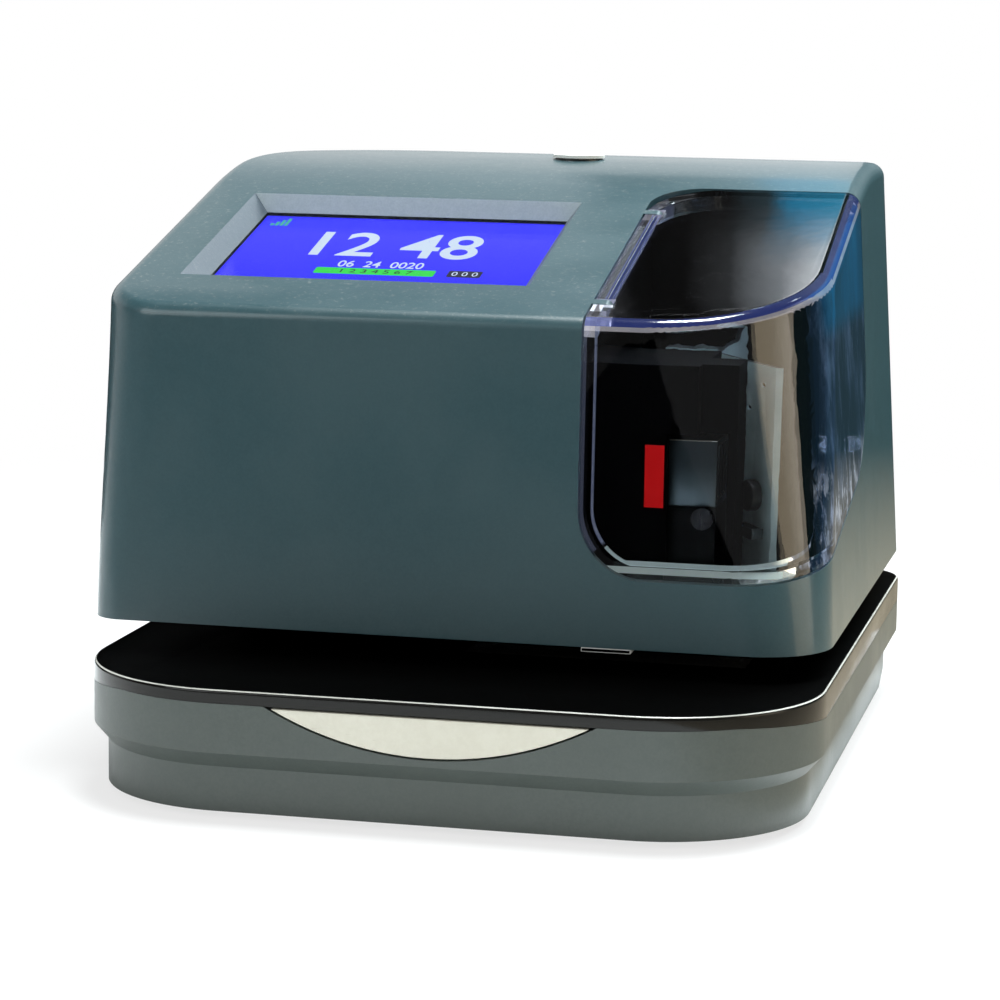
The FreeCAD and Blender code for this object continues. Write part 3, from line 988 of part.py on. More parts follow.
standoffs = [rod("standoff", "z", "Dims.post_radius", PLATE_TOP, MAIN_BOARD_Z, place)
             for place in BOARD_HOLES]
board_holes = [rod("board_hole", "z", "Dims.small_screw_radius", PLATE_TOP,
                   f"{MAIN_BOARD_Z} + Dims.board_thickness", place) for place in BOARD_HOLES]
plate_form = fuse("plate_form", plate_blank, *plate_flanges, *standoffs)
keep(cut("base_plate", plate_form, *base_pilots, *board_holes), "base_plate")
FEET = [(f"({sign}) * ({side} - Dims.foot_inset)", y) for sign, side in ((-1, LEFT_SIDE), (1, SIDE))
        for y in (f"({FRONT} + 2 * Dims.foot_inset)", f"({BACK} - 2 * Dims.foot_inset)")]
keep(group("rubber_feet", [rod("rubber_foot", "z", "Dims.foot_radius", "0", BASE_BOTTOM, place)
                           for place in FEET]),
     "rubber_feet")

# Push bar: face piece with a lip behind the wall and a stem; its two springs rest on a steel strip.
base_room = base_form("base_room", "(Dims.base_wall + Dims.clearance)",
                      f"({DECK_TOP} - Dims.base_deck - Dims.clearance)")
PUSH_BACK = f"({PUSH_FACE_BACK} + Dims.push_lip_depth)"
push_face = common("push_face", crescent("push_front", "0", (f"{FRONT} - 1", PUSH_FACE_BACK)),
                   fuse("base_block", base_outside, lip_space))
push_rim = common("push_rim", crescent("push_wide", "(Dims.push_gap + Dims.push_lip)", (FRONT, PUSH_BACK)),
                  base_room)
PUSH_Z = f"({DECK_TOP} - Dims.base_deck - Dims.push_height / 3)"
STEM_END = f"({PUSH_BACK} + Dims.push_stem_length)"
push_stem = box("push_stem", (f"{PUSH_X} - Dims.push_stem_width / 2",
                              f"{PUSH_X} + Dims.push_stem_width / 2"),
                (f"{PUSH_FACE_BACK} - 1", STEM_END),
                (f"{PUSH_Z} - Dims.plate_thickness / 2", f"{PUSH_Z} + Dims.plate_thickness / 2"))
keep(fuse("push_bar", push_face, push_rim, push_stem), "push_bar")

BRACKET_Y = (f"({PUSH_BACK} + Dims.spring_length)",
             f"({PUSH_BACK} + Dims.spring_length + Dims.plate_thickness)")
bracket_wall = box("bracket_wall", (f"{PUSH_X} - Dims.bracket_half", f"{PUSH_X} + Dims.bracket_half"),
                   BRACKET_Y,
                   (PLATE_TOP, f"{DECK_TOP} - Dims.base_deck - Dims.clearance"))
bracket_foot = box("bracket_foot", (f"{PUSH_X} - Dims.bracket_half", f"{PUSH_X} + Dims.bracket_half"),
                   (f"{BRACKET_Y[0]} - Dims.spring_length / 2", BRACKET_Y[1]),
                   (PLATE_TOP, f"{PLATE_TOP} + Dims.plate_thickness"))
bracket_slot = box("bracket_slot", (f"{PUSH_X} - Dims.push_stem_width / 2 - Dims.running_gap",
                                    f"{PUSH_X} + Dims.push_stem_width / 2 + Dims.running_gap"),
                   (f"{BRACKET_Y[0]} - 1", f"{BRACKET_Y[1]} + 1"),
                   (f"{PUSH_Z} - Dims.plate_thickness / 2 - Dims.running_gap",
                    f"{PUSH_Z} + Dims.plate_thickness / 2 + Dims.running_gap"))
keep(cut("spring_bracket", fuse("bracket_form", bracket_wall, bracket_foot), bracket_slot),
     "spring_bracket")


def push_spring(side):
    """Coil spring between the push bar and its bracket."""
    body = new_body("push_spring")
    sketch = sketch_in(body, "XZ_Plane")
    circle(sketch, "Dims.push_spring_radius", "Dims.push_spring_wire", "Dims.push_spring_wire")
    coil = body.newObject("PartDesign::AdditiveHelix", "push_spring_coil")
    coil.Profile = sketch
    coil.ReferenceAxis = (sketch, ["V_Axis"])
    coil.Mode = "height-turns-angle"
    bind(coil, Height="Dims.spring_length - 2 * Dims.push_spring_wire", Turns="Dims.push_spring_turns")
    body.Placement = FreeCAD.Placement(FreeCAD.Vector(), AXES["y"])
    return bind(body, Placement__Base__x=f"{PUSH_X} + ({side}) * Dims.push_spring_spread",
                Placement__Base__y=PUSH_BACK, Placement__Base__z=PUSH_Z)


keep(group("push_springs", [push_spring(-1), push_spring(1)]), "push_springs")
SENSOR_FRONT = f"({STEM_END} - Dims.clearance)"
sensor_block = box("sensor_block", (f"{PUSH_X} - Dims.push_stem_width", f"{PUSH_X} + Dims.push_stem_width"),
                   (SENSOR_FRONT, f"{SENSOR_FRONT} + Dims.sensor_depth"),
                   (PLATE_TOP, f"{PUSH_Z} + Dims.sensor_cheek"))
sensor_slot = box("sensor_slot", ("-Dims.overall_width", "Dims.overall_width"),
                  (f"{SENSOR_FRONT} - 1", f"{SENSOR_FRONT} + Dims.push_travel + 3 * Dims.clearance"),
                  (f"{PUSH_Z} - Dims.plate_thickness", f"{PUSH_Z} + Dims.plate_thickness"))
keep(cut("push_sensor", sensor_block, sensor_slot), "push_sensor")

# Electronics in the base: main board, back-up battery and the two sockets in the back.
BOARD_TOP = f"({MAIN_BOARD_Z} + Dims.board_thickness)"
BOARD_MIDDLE = (f"(({BOARD_X[0]} + {BOARD_X[1]}) / 2)", f"(({BOARD_Y[0]} + {BOARD_Y[1]}) / 2)")
board_parts = [box("main_board_sheet", BOARD_X, BOARD_Y, (MAIN_BOARD_Z, BOARD_TOP)),
               box("processor", (f"{BOARD_MIDDLE[0]} - Dims.chip_size / 2",
                                 f"{BOARD_MIDDLE[0]} + Dims.chip_size / 2"),
                   (f"{BOARD_MIDDLE[1]} - Dims.chip_size / 2", f"{BOARD_MIDDLE[1]} + Dims.chip_size / 2"),
                   (BOARD_TOP, f"{BOARD_TOP} + Dims.chip_height"))]
for place in (-1, 1):
    board_parts.append(rod("capacitor", "z", "Dims.capacitor_radius", BOARD_TOP,
                           f"{BOARD_TOP} + Dims.capacitor_height",
                           (f"{BOARD_MIDDLE[0]} + ({place}) * 1.5 * Dims.chip_size", BOARD_MIDDLE[1])))
keep(cut("main_board", fuse("board_with_chips", *board_parts), *board_holes), "main_board")
board_screws = []
for place in BOARD_HOLES:
    shank = rod("board_screw_shank", "z", "Dims.small_screw_radius", PLATE_TOP, BOARD_TOP, place)
    head = rod("board_screw_head", "z", "Dims.small_head_radius", BOARD_TOP,
               f"{BOARD_TOP} + Dims.small_head_height",
               place)
    board_screws.append(fuse("board_screw", shank, head))
keep(group("board_screws", board_screws), "board_screws")
BATTERY_Y = (f"({BOARD_Y[0]} - Dims.battery_gap - Dims.battery_depth)",
             f"({BOARD_Y[0]} - Dims.battery_gap)")
keep(box("backup_battery", (f"{BOARD_MIDDLE[0]} - Dims.battery_length / 2",
                            f"{BOARD_MIDDLE[0]} + Dims.battery_length / 2"),
         BATTERY_Y, (PLATE_TOP, f"{PLATE_TOP} + Dims.battery_height")), "backup_battery")
SOCKETS_Y = f"({BACK} - Dims.skirt_inset)"


def socket(label, x, width):
    """Socket body that fills its hole in the back wall."""
    return box(label, (f"{x} - {width} / 2", f"{x} + {width} / 2"),
               (f"{BACK} - Dims.inlet_depth", SOCKETS_Y),
               (f"{SOCKETS_Z} - Dims.inlet_width / 2", f"{SOCKETS_Z} + Dims.inlet_width / 2"))


inlet_body = socket("inlet_body", INLET_X, "Dims.inlet_width")
inlet_mouth = rod("inlet_mouth", "y", "Dims.inlet_bore", f"{BACK} - 0.7 * Dims.inlet_depth", f"{BACK} + 1",
                  (INLET_X, SOCKETS_Z))
inlet_pin = rod("inlet_pin", "y", "Dims.inlet_pin", f"{BACK} - 0.75 * Dims.inlet_depth",
                f"{SOCKETS_Y} - Dims.base_wall",
                (INLET_X, SOCKETS_Z))
keep(fuse("power_inlet", cut("inlet_hollow", inlet_body, inlet_mouth), inlet_pin), "power_inlet")
socket_body = socket("socket_body", SOCKET_X, "Dims.socket_width")
socket_mouth = box("socket_mouth", (f"{SOCKET_X} - 0.4 * Dims.socket_width",
                                    f"{SOCKET_X} + 0.4 * Dims.socket_width"),
                   (f"{BACK} - 0.7 * Dims.inlet_depth", f"{BACK} + 1"),
                   (f"{SOCKETS_Z} - 0.36 * Dims.inlet_width", f"{SOCKETS_Z} + 0.36 * Dims.inlet_width"))
keep(cut("data_socket", socket_body, socket_mouth), "data_socket")

# ---------------------------------------------------------------- paper table and throat

PRINT_Y = f"({HOOD_FRONT} + Dims.print_line)"
PLATEN_X = ("Dims.platen_left", "Dims.platen_right")
PLATEN_Y = (f"({PRINT_Y} - Dims.platen_length / 2)", f"({PRINT_Y} + Dims.platen_length / 2)")
table = new_body("table")
table_sketch = sketch_in(table, "XY_Plane", DECK_TOP)
base_outline(table_sketch, "0")
pad(table, table_sketch, "Dims.table_height")
round_edges(table, "Dims.table_edge_radius", between_top_and_side)
table_hollow = sketch_in(table, "XY_Plane", DECK_TOP)
base_outline(table_hollow, "Dims.table_rim_wall")
pocket(table, table_hollow, "Dims.table_height - Dims.table_thickness", downward=False)
platen_place = box("platen_place", PLATEN_X, PLATEN_Y,
                   (f"{TABLE_TOP} - Dims.platen_thickness", f"{TABLE_TOP} + 1"))
keep(cut("paper_table", table, lip_space, platen_place, wire_way, *throat_holes), "paper_table")
keep(box("platen", PLATEN_X, PLATEN_Y, (f"{TABLE_TOP} - Dims.platen_thickness", TABLE_TOP)), "platen")
throat_blank = box("throat_blank", ("-Dims.throat_block_width / 2", "Dims.throat_block_width / 2"),
                   (f"{HOOD_FRONT} + Dims.throat_block_front", f"{BACK} - Dims.throat_block_back"),
                   (TABLE_TOP, HOOD_BOTTOM))
keep(cut("throat_block", throat_blank, wire_way, *throat_holes), "throat_block")
throat_screws = []
for place in throat_screw_places:
    shank = rod("throat_screw_shank", "z", "Dims.screw_radius", f"{DECK_TOP} - Dims.base_deck",
                HOOD_FLOOR_TOP, place)
    head = rod("throat_screw_head", "z", "Dims.screw_head_radius",
               f"{DECK_TOP} - Dims.base_deck - Dims.screw_head_height",
               f"{DECK_TOP} - Dims.base_deck", place)
    throat_screws.append(fuse("throat_screw", shank, head))
keep(group("throat_screws", throat_screws), "throat_screws")

# ---------------------------------------------------------------- hood floor and mechanism frames

MECH_TOP = f"({HOOD_FLOOR_TOP} + Dims.mech_plate)"
print_window = box("print_window", ("-Dims.window_left", "Dims.window_right"),
                   (f"{PRINT_Y} - Dims.window_length / 2", f"{PRINT_Y} + Dims.window_length / 2"),
                   (f"{HOOD_BOTTOM} - 1", f"{MECH_TOP} + 1"))
TRIGGER_Y = f"({PRINT_Y} + Dims.trigger_y)"
trigger_slot = box("trigger_slot", ("Dims.trigger_x - Dims.trigger_width",
                                    "Dims.trigger_x + Dims.trigger_width"),
                   (f"{TRIGGER_Y} - 2 * Dims.trigger_arm", f"{TRIGGER_Y} + 2 * Dims.trigger_arm"),
                   (f"{HOOD_BOTTOM} - Dims.throat_height + Dims.clearance", f"{MECH_TOP} + 1"))
hood_floor_blank = new_body("hood_floor_blank")
floor_sketch = sketch_in(hood_floor_blank, "XY_Plane", HOOD_BOTTOM)
floor_inset = "(Dims.hood_wall + Dims.floor_gap)"
rounded_rectangle(floor_sketch, (f"-Dims.hood_left + {floor_inset}", f"Dims.hood_right - {floor_inset}"),
                  (f"{HOOD_FRONT} + {floor_inset}", f"{BACK} - {floor_inset}"),
                  ["(Dims.hood_left_corner - Dims.hood_wall)", "Dims.hood_right_corner",
                   "Dims.hood_back_corner",
                   "Dims.hood_back_corner"])
pad(hood_floor_blank, floor_sketch, "Dims.floor_thickness")
SINK_TOP = f"({HOOD_BOTTOM} + Dims.screw_head_height)"
hood_screw_ways = []
hood_screws = []
for place in hood_boss_places:
    for screw in (hood_screw_ways, hood_screws):
        top = HOOD_FLOOR_TOP if screw is hood_screw_ways else f"{HOOD_FLOOR_TOP} + Dims.hood_screw_reach"
        shank = rod("hood_screw_shank", "z", "Dims.screw_radius", HOOD_BOTTOM, top, place)
        sink = cone("hood_screw_head", "Dims.screw_head_radius", "Dims.screw_radius", HOOD_BOTTOM, SINK_TOP,
                    place)
        screw.append(fuse("hood_screw", shank, sink))
MECH_X = ("-Dims.mech_left", "Dims.mech_right")
MECH_Y = (f"({PRINT_Y} - Dims.mech_front)", f"({PRINT_Y} + Dims.mech_back)")
FRAME_Z = (MECH_TOP, f"({EDGE_Z} - Dims.frame_drop)")
LEFT_FOOT_X = f"(-Dims.left_frame_x - Dims.frame_foot / 2 + Dims.frame_sheet / 2)"
RIGHT_FOOT_X = f"(Dims.right_frame_x + Dims.frame_sheet + Dims.frame_foot / 2)"
LEFT_FRAME_Y = (f"({PRINT_Y} + Dims.left_frame_front)",
                f"({PRINT_Y} + Dims.left_frame_front + Dims.left_frame_length)")
RIGHT_BEND_Y = f"({PRINT_Y} + Dims.right_frame_bend)"
RIGHT_BACK_Y = f"({PRINT_Y} + Dims.right_frame_back)"
RIGHT_FOOT_Y = (f"({RIGHT_BEND_Y} + Dims.frame_foot)", RIGHT_BACK_Y)
corner_screws = [(f"({MECH_X[0]} + Dims.mech_screw_inset)", f"({MECH_Y[0]} + Dims.mech_screw_inset)"),
                 (f"({MECH_X[0]} + Dims.mech_screw_inset)", f"({MECH_Y[1]} - Dims.mech_screw_inset)"),
                 (f"({MECH_X[1]} - Dims.mech_screw_inset)", f"({RIGHT_BEND_Y} - Dims.frame_foot)"),
                 (f"({MECH_X[1]} - Dims.mech_screw_inset)", f"({MECH_Y[1]} - Dims.mech_screw_inset)")]
foot_screws = [(x, f"({y} {into} Dims.frame_foot)")
               for x, span in ((LEFT_FOOT_X, LEFT_FRAME_Y),
                               (RIGHT_FOOT_X, RIGHT_FOOT_Y)) for y, into in zip(span, "+-")]
SCREW_FOOT = f"({HOOD_FLOOR_TOP} - 0.8 * Dims.floor_thickness)"
mechanism_screws = []
mechanism_holes = []
for places, under_head in ((corner_screws, MECH_TOP), (foot_screws, f"({MECH_TOP} + Dims.frame_sheet)")):
    for place in places:
        shank = rod("mechanism_screw_shank", "z", "Dims.small_screw_radius", SCREW_FOOT, under_head, place)
        head = rod("mechanism_screw_head", "z", "Dims.small_head_radius", under_head,
                   f"{under_head} + Dims.small_head_height", place)
        mechanism_screws.append(fuse("mechanism_screw", shank, head))
        mechanism_holes.append(rod("mechanism_hole", "z", "Dims.small_screw_radius", SCREW_FOOT, under_head,
                                   place))
keep(cut("hood_floor", hood_floor_blank, print_window, trigger_slot, wire_way, *hood_screw_ways,
         *throat_holes,
         *mechanism_holes), "hood_floor")
keep(group("hood_screws", hood_screws), "hood_screws")
keep(cut("mechanism_plate", box("mechanism_plate_blank", MECH_X, MECH_Y, (HOOD_FLOOR_TOP, MECH_TOP)),
         print_window,
         trigger_slot, *mechanism_holes), "mechanism_plate")
keep(group("mechanism_screws", mechanism_screws), "mechanism_screws")
keep(box("position_marker", ("Dims.marker_left", "Dims.marker_left + Dims.marker_width"),
         (HOOD_FRONT, f"{HOOD_FRONT} + Dims.marker_length"), (f"{HOOD_BOTTOM} - Dims.marker_thickness",
                                                              HOOD_BOTTOM)),
     "position_marker")

SHAFT_Z = f"({MECH_TOP} + Dims.shaft_rise)"
FRONT_SHAFT_Y = f"({PRINT_Y} + Dims.shaft_y)"
REAR_SHAFT_Y = f"({FRONT_SHAFT_Y} + Dims.shaft_spacing)"
SHAFT_X = ("(-Dims.left_frame_x)", "(Dims.right_frame_x + Dims.frame_sheet)")
shaft_tools = []
for label, radius, y in (("front_guide_shaft", "Dims.front_shaft_radius", FRONT_SHAFT_Y),
                         ("rear_guide_shaft", "Dims.rear_shaft_radius", REAR_SHAFT_Y)):
    keep(rod(label, "x", radius, *SHAFT_X, (y, SHAFT_Z)), label)
    shaft_tools.append(rod(label + "_hole", "x", radius, *SHAFT_X, (y, SHAFT_Z)))
left_web = box("left_web", ("-Dims.left_frame_x", "-Dims.left_frame_x + Dims.frame_sheet"), LEFT_FRAME_Y,
               FRAME_Z)
left_foot = box("left_foot", ("-Dims.left_frame_x - Dims.frame_foot + Dims.frame_sheet",
                              "-Dims.left_frame_x"),
                LEFT_FRAME_Y, (MECH_TOP, f"{MECH_TOP} + Dims.frame_sheet"))
keep(cut("left_frame", fuse("left_frame_form", left_web, left_foot), *shaft_tools, *mechanism_holes),
     "left_frame")

right_web = new_body("right_web")
web_sketch = sketch_in(right_web, "XY_Plane", MECH_TOP)
WEB_RIGHT = "(Dims.right_frame_x + Dims.frame_sheet)"
WING_FRONT_Y = f"({PRINT_Y} - Dims.wing_front)"
polygon(web_sketch, [("Dims.right_frame_x", RIGHT_BACK_Y), ("Dims.right_frame_x", RIGHT_BEND_Y),
                     ("Dims.wing_x", WING_FRONT_Y), ("Dims.wing_x + 1.2 * Dims.frame_sheet", WING_FRONT_Y),
                     (WEB_RIGHT, f"{RIGHT_BEND_Y} + Dims.frame_sheet / 4"), (WEB_RIGHT, RIGHT_BACK_Y)])
pad(right_web, web_sketch, f"{FRAME_Z[1]} - {FRAME_Z[0]}")
right_foot = box("right_foot", (WEB_RIGHT, f"{WEB_RIGHT} + Dims.frame_foot"), RIGHT_FOOT_Y,
                 (MECH_TOP, f"{MECH_TOP} + Dims.frame_sheet"))
top_tab = box("top_tab", ("Dims.right_frame_x - Dims.wing_tab", "Dims.right_frame_x"),
              (f"{RIGHT_BEND_Y} + Dims.frame_foot", f"{RIGHT_BEND_Y} + 2 * Dims.frame_foot"),
              (f"{FRAME_Z[1]} - Dims.frame_sheet", FRAME_Z[1]))


def wing_hole(label, radius, share, z):
    """Hole through the wing, at a share of the way from the bend to the wing's front end."""
    return rod(label, "y", radius, f"{WING_FRONT_Y} - 1", f"{RIGHT_BEND_Y} + 1",
               (f"(Dims.right_frame_x + {share} * (Dims.wing_x - Dims.right_frame_x))", z))


wing_holes = [wing_hole("wing_hole", "Dims.wing_hole * 0.55", 0.5, f"({MECH_TOP} + Dims.wing_hole_rise)"),
              wing_hole("wing_slot_high", "Dims.wing_slot / 2", 0.82,
                        f"({FRAME_Z[1]} - Dims.wing_slot_drop)"),
              wing_hole("wing_slot_low", "Dims.wing_slot / 2", 0.6,
                        f"({FRAME_Z[1]} - Dims.wing_slot_drop - 5 * Dims.wing_slot)")]
keep(cut("right_frame", fuse("right_frame_form", right_web, right_foot, top_tab), *wing_holes, *shaft_tools,
         *mechanism_holes), "right_frame")

# ---------------------------------------------------------------- carriage, head and belt

CARRIAGE_X = ("Dims.carriage_left", "(Dims.carriage_left + Dims.carriage_width)")
CARRIAGE_Y = (f"({FRONT_SHAFT_Y} - Dims.carriage_margin)", f"({REAR_SHAFT_Y} + Dims.carriage_margin)")
CARRIAGE_Z = (f"({SHAFT_Z} - Dims.carriage_height / 2)", f"({SHAFT_Z} + Dims.carriage_height / 2)")
HEAD_X = ("Dims.head_left", "(Dims.head_left + Dims.head_width)")
HEAD_Y = (f"({PRINT_Y} - Dims.head_front)", f"({PRINT_Y} - Dims.head_front + Dims.head_length)")
HEAD_FOOT_Z = f"({MECH_TOP} + Dims.head_foot)"
FINS_TOP = f"({EDGE_Z} - Dims.cassette_drop - Dims.cassette_height - Dims.heatsink_gap)"
HEAD_Z = (HEAD_FOOT_Z, f"({HEAD_FOOT_Z} + Dims.head_height * ({FINS_TOP} - {HEAD_FOOT_Z}) / Dims.head_room)")
BELT_Y = f"({PRINT_Y} + Dims.belt_y)"
PULLEY_Z = (f"({MECH_TOP} + Dims.pulley_rise)", f"({MECH_TOP} + Dims.pulley_rise + Dims.pulley_height)")
BELT_Z = (f"({PULLEY_Z[0]} + (Dims.pulley_height - Dims.belt_height) / 2)",
          f"({PULLEY_Z[1]} - (Dims.pulley_height - Dims.belt_height) / 2)")
BELT_INNER = "(Dims.pulley_radius + 2 * Dims.running_gap)"
BELT_OUTER = f"({BELT_INNER} + Dims.belt_thickness)"
carriage_block = box("carriage_block", CARRIAGE_X, CARRIAGE_Y, CARRIAGE_Z)
head_arm = box("head_arm", (CARRIAGE_X[0], "(Dims.right_frame_x - 4 * Dims.clearance)"),
               (HEAD_Y[1], CARRIAGE_Y[0]), CARRIAGE_Z)
FORK_X = (CARRIAGE_X[0], f"({CARRIAGE_X[0]} + 0.4 * Dims.carriage_width)")
fork_stem = box("fork_stem", FORK_X, (CARRIAGE_Y[1], f"{BELT_Y} - {BELT_INNER} + Dims.belt_thickness"),
                (f"{CARRIAGE_Z[1]} - 2", f"{BELT_Z[0]} - Dims.clearance"))
fork_cheek = box("fork_cheek", FORK_X, (f"{BELT_Y} - {BELT_OUTER} - 3 * Dims.belt_thickness",
                                        f"{BELT_Y} - {BELT_INNER} + 2 * Dims.belt_thickness"),
                 (f"{BELT_Z[0]} - 2 * Dims.clearance", f"{BELT_Z[1]} + Dims.clearance"))
fork_slot = box("fork_slot", (f"{FORK_X[0]} - 1", f"{FORK_X[1]} + 1"),
                (f"{BELT_Y} - {BELT_OUTER} - Dims.clearance", f"{BELT_Y} - {BELT_INNER} + Dims.clearance"),
                (f"{BELT_Z[0]} - Dims.clearance / 2", f"{BELT_Z[1]} + 1"))
carriage_bores = [rod("carriage_bore", "x", f"{radius} + Dims.running_gap", f"{CARRIAGE_X[0]} - 1",
                      f"{HEAD_X[1]} + 1", (y, SHAFT_Z))
                  for radius, y in (("Dims.front_shaft_radius", FRONT_SHAFT_Y),
                                    ("Dims.rear_shaft_radius", REAR_SHAFT_Y))]
keep(cut("carriage", fuse("carriage_form", carriage_block, head_arm, fork_stem, fork_cheek), fork_slot,
         *carriage_bores), "carriage")
head_block = box("head_block", HEAD_X, HEAD_Y, HEAD_Z)
head_nose = box("head_nose", wider(HEAD_X, "(-Dims.head_width / 5)"),
                (f"{PRINT_Y} - Dims.head_nose / 2", f"{PRINT_Y} + Dims.head_nose / 2"),
                (f"{HOOD_BOTTOM} + 2 * Dims.ribbon_thickness + Dims.clearance", HEAD_Z[0]))
keep(fuse("print_head", head_block, head_nose), "print_head")
SINK_Z = (HEAD_Z[1], FINS_TOP)
sink_base = box("sink_base", HEAD_X, HEAD_Y, SINK_Z)
FIN_PITCH = "((Dims.head_length - Dims.fin_gap) / (Dims.fin_count - 1))"
fin_gaps = []
for number in range(int(value("Dims.fin_count")) - 1):
    fin_start = f"{HEAD_Y[0]} + Dims.fin_gap + {number} * {FIN_PITCH}"
    fin_gaps.append(box("fin_gap", wider(HEAD_X, "1"),
                        (fin_start, f"{fin_start} + {FIN_PITCH} - Dims.fin_gap"),
                        (f"{SINK_Z[0]} + Dims.fin_gap", f"{SINK_Z[1]} - Dims.fin_gap")))
keep(cut("head_heatsink", sink_base, *fin_gaps), "head_heatsink")
head_screws = []
for share in (0.15, 0.85):
    place = (f"({HEAD_X[0]} + {share} * Dims.head_width)", f"({HEAD_Z[1]} - Dims.small_head_radius)")
    head_screws.append(rod("head_screw", "y", "Dims.small_head_radius",
                           f"{HEAD_Y[0]} - Dims.small_head_height",
                           HEAD_Y[0], place))
keep(group("head_screws", head_screws), "head_screws")

MOTOR = ("(-Dims.motor_x)", BELT_Y)
IDLER = ("Dims.idler_x", BELT_Y)
motor_can = rod("motor_can", "z", "Dims.motor_radius", MECH_TOP, f"{MECH_TOP} + Dims.motor_height", MOTOR)
motor_shaft = rod("motor_shaft", "z", "Dims.motor_shaft", f"{MECH_TOP} + Dims.motor_height", PULLEY_Z[1],
                  MOTOR)
keep(fuse("carriage_motor", motor_can, motor_shaft), "carriage_motor")
for label, place in (("motor_pulley", MOTOR), ("idler_pulley", IDLER)):
    wheel = rod(label + "_wheel", "z", "Dims.pulley_radius", *PULLEY_Z, place)
    bore = rod(label + "_bore", "z", "Dims.motor_shaft + Dims.running_gap", f"{PULLEY_Z[0]} - 1",
               f"{PULLEY_Z[1]} + 1", place)
    keep(cut(label, wheel, bore), label)


def belt_loop(label, radius, z):
    """Band that runs round both pulleys."""
    ends = [rod(label + "_end", "z", radius, *z, place) for place in (MOTOR, IDLER)]
    middle = box(label + "_middle", (MOTOR[0], IDLER[0]), (f"{BELT_Y} - {radius}", f"{BELT_Y} + {radius}"),
                 z)
    return fuse(label, middle, *ends)


keep(cut("drive_belt", belt_loop("belt_outside", BELT_OUTER, BELT_Z),
         belt_loop("belt_inside", BELT_INNER, (f"({BELT_Z[0]} - 1)", f"({BELT_Z[1]} + 1)"))), "drive_belt")
AXLE_FOOT = f"({PULLEY_Z[0]} - 2 * Dims.frame_sheet)"
idler_leg = box("idler_leg", ("Dims.right_frame_x - Dims.frame_sheet", "Dims.right_frame_x"),
                (f"{BELT_Y} - Dims.frame_foot",
                 f"{BELT_Y} + Dims.frame_foot"), (AXLE_FOOT, f"{PULLEY_Z[1]} + 3"))
idler_shelf = box("idler_shelf", (f"{IDLER[0]} - Dims.frame_foot", "Dims.right_frame_x"),
                  (f"{BELT_Y} - Dims.frame_foot", f"{BELT_Y} + Dims.frame_foot"),
                  (AXLE_FOOT, f"{AXLE_FOOT} + Dims.frame_sheet"))
idler_axle = rod("idler_axle", "z", "Dims.motor_shaft", AXLE_FOOT, f"{PULLEY_Z[1]} + Dims.frame_sheet",
                 IDLER)
keep(fuse("idler_bracket", idler_leg, idler_shelf, idler_axle), "idler_bracket")

# ---------------------------------------------------------------- ribbon cassette and its drive

CASSETTE_X = ("(-Dims.cassette_left)", "Dims.cassette_right")
REACH_X = ("Dims.cassette_right", "Dims.ribbon_right")
CASSETTE_Y = (f"({PRINT_Y} - Dims.cassette_front)",
              f"({PRINT_Y} - Dims.cassette_front + Dims.cassette_length)")
CASSETTE_Z = (f"({EDGE_Z} - Dims.cassette_drop - Dims.cassette_height)", f"({EDGE_Z} - Dims.cassette_drop)")
RIBBON_Z = (f"({HOOD_BOTTOM} + Dims.ribbon_thickness)", f"({HOOD_BOTTOM} + 2 * Dims.ribbon_thickness)")
ARM_Y = (f"({PRINT_Y} - Dims.arm_length * 2 / 3)", f"({PRINT_Y} + Dims.arm_length / 3)")
cassette_block = box("cassette_block", CASSETTE_X, CASSETTE_Y, CASSETTE_Z)
cassette_hollow = box("cassette_hollow", wider(CASSETTE_X, "(-Dims.cassette_wall)"),
                      wider(CASSETTE_Y, "(-Dims.cassette_wall)"),
                      (f"{CASSETTE_Z[0]} + Dims.cassette_wall", f"{CASSETTE_Z[1]} + 1"))
shield = box("shield", (CASSETTE_X[0], "Dims.shield_right"),
             (CASSETTE_Y[0], f"{CASSETTE_Y[0]} + Dims.cassette_wall"),
             (f"{MECH_TOP} + Dims.shield_foot", CASSETTE_Z[0]))
left_arm = box("left_arm", (CASSETTE_X[0], f"{CASSETTE_X[0]} + Dims.arm_width"), ARM_Y,
               (RIBBON_Z[1], CASSETTE_Z[0]))
right_reach = box("right_reach", REACH_X, ARM_Y, CASSETTE_Z)
right_arm = box("right_arm", (f"{REACH_X[1]} - Dims.cassette_wall", REACH_X[1]), ARM_Y,
                (RIBBON_Z[1], CASSETTE_Z[0]))
PINION = ("(-Dims.ribbon_motor_x)", f"({PRINT_Y} + Dims.ribbon_motor_y)")
GEAR_CENTRES = "(Dims.gear_module * (Dims.pinion_teeth + Dims.wheel_teeth) / 2 + Dims.gear_room)"
WHEEL = (f"({PINION[0]} + {GEAR_CENTRES})", PINION[1])
spindle_hole = rod("spindle_hole", "z", "Dims.motor_shaft + Dims.running_gap", f"{CASSETTE_Z[0]} - 1",
                   f"{CASSETTE_Z[1]} + 2 * Dims.lid_thickness", WHEEL)
keep(cut("ribbon_cassette", fuse("cassette_form", cassette_block, shield, left_arm, right_reach, right_arm),
         cassette_hollow,
         spindle_hole), "ribbon_cassette")
LID_Z = (CASSETTE_Z[1], f"({CASSETTE_Z[1]} + Dims.lid_thickness)")
lid_blank = fuse("lid_blank", box("lid_sheet", CASSETTE_X, CASSETTE_Y, LID_Z),
                 box("lid_reach", REACH_X, ARM_Y, LID_Z))
keep(cut("cassette_lid", lid_blank, spindle_hole), "cassette_lid")
keep(box("ink_ribbon", (CASSETTE_X[0], REACH_X[1]),
         (f"{PRINT_Y} - Dims.ribbon_width / 2", f"{PRINT_Y} + Dims.ribbon_width / 2"),
         RIBBON_Z), "ink_ribbon")
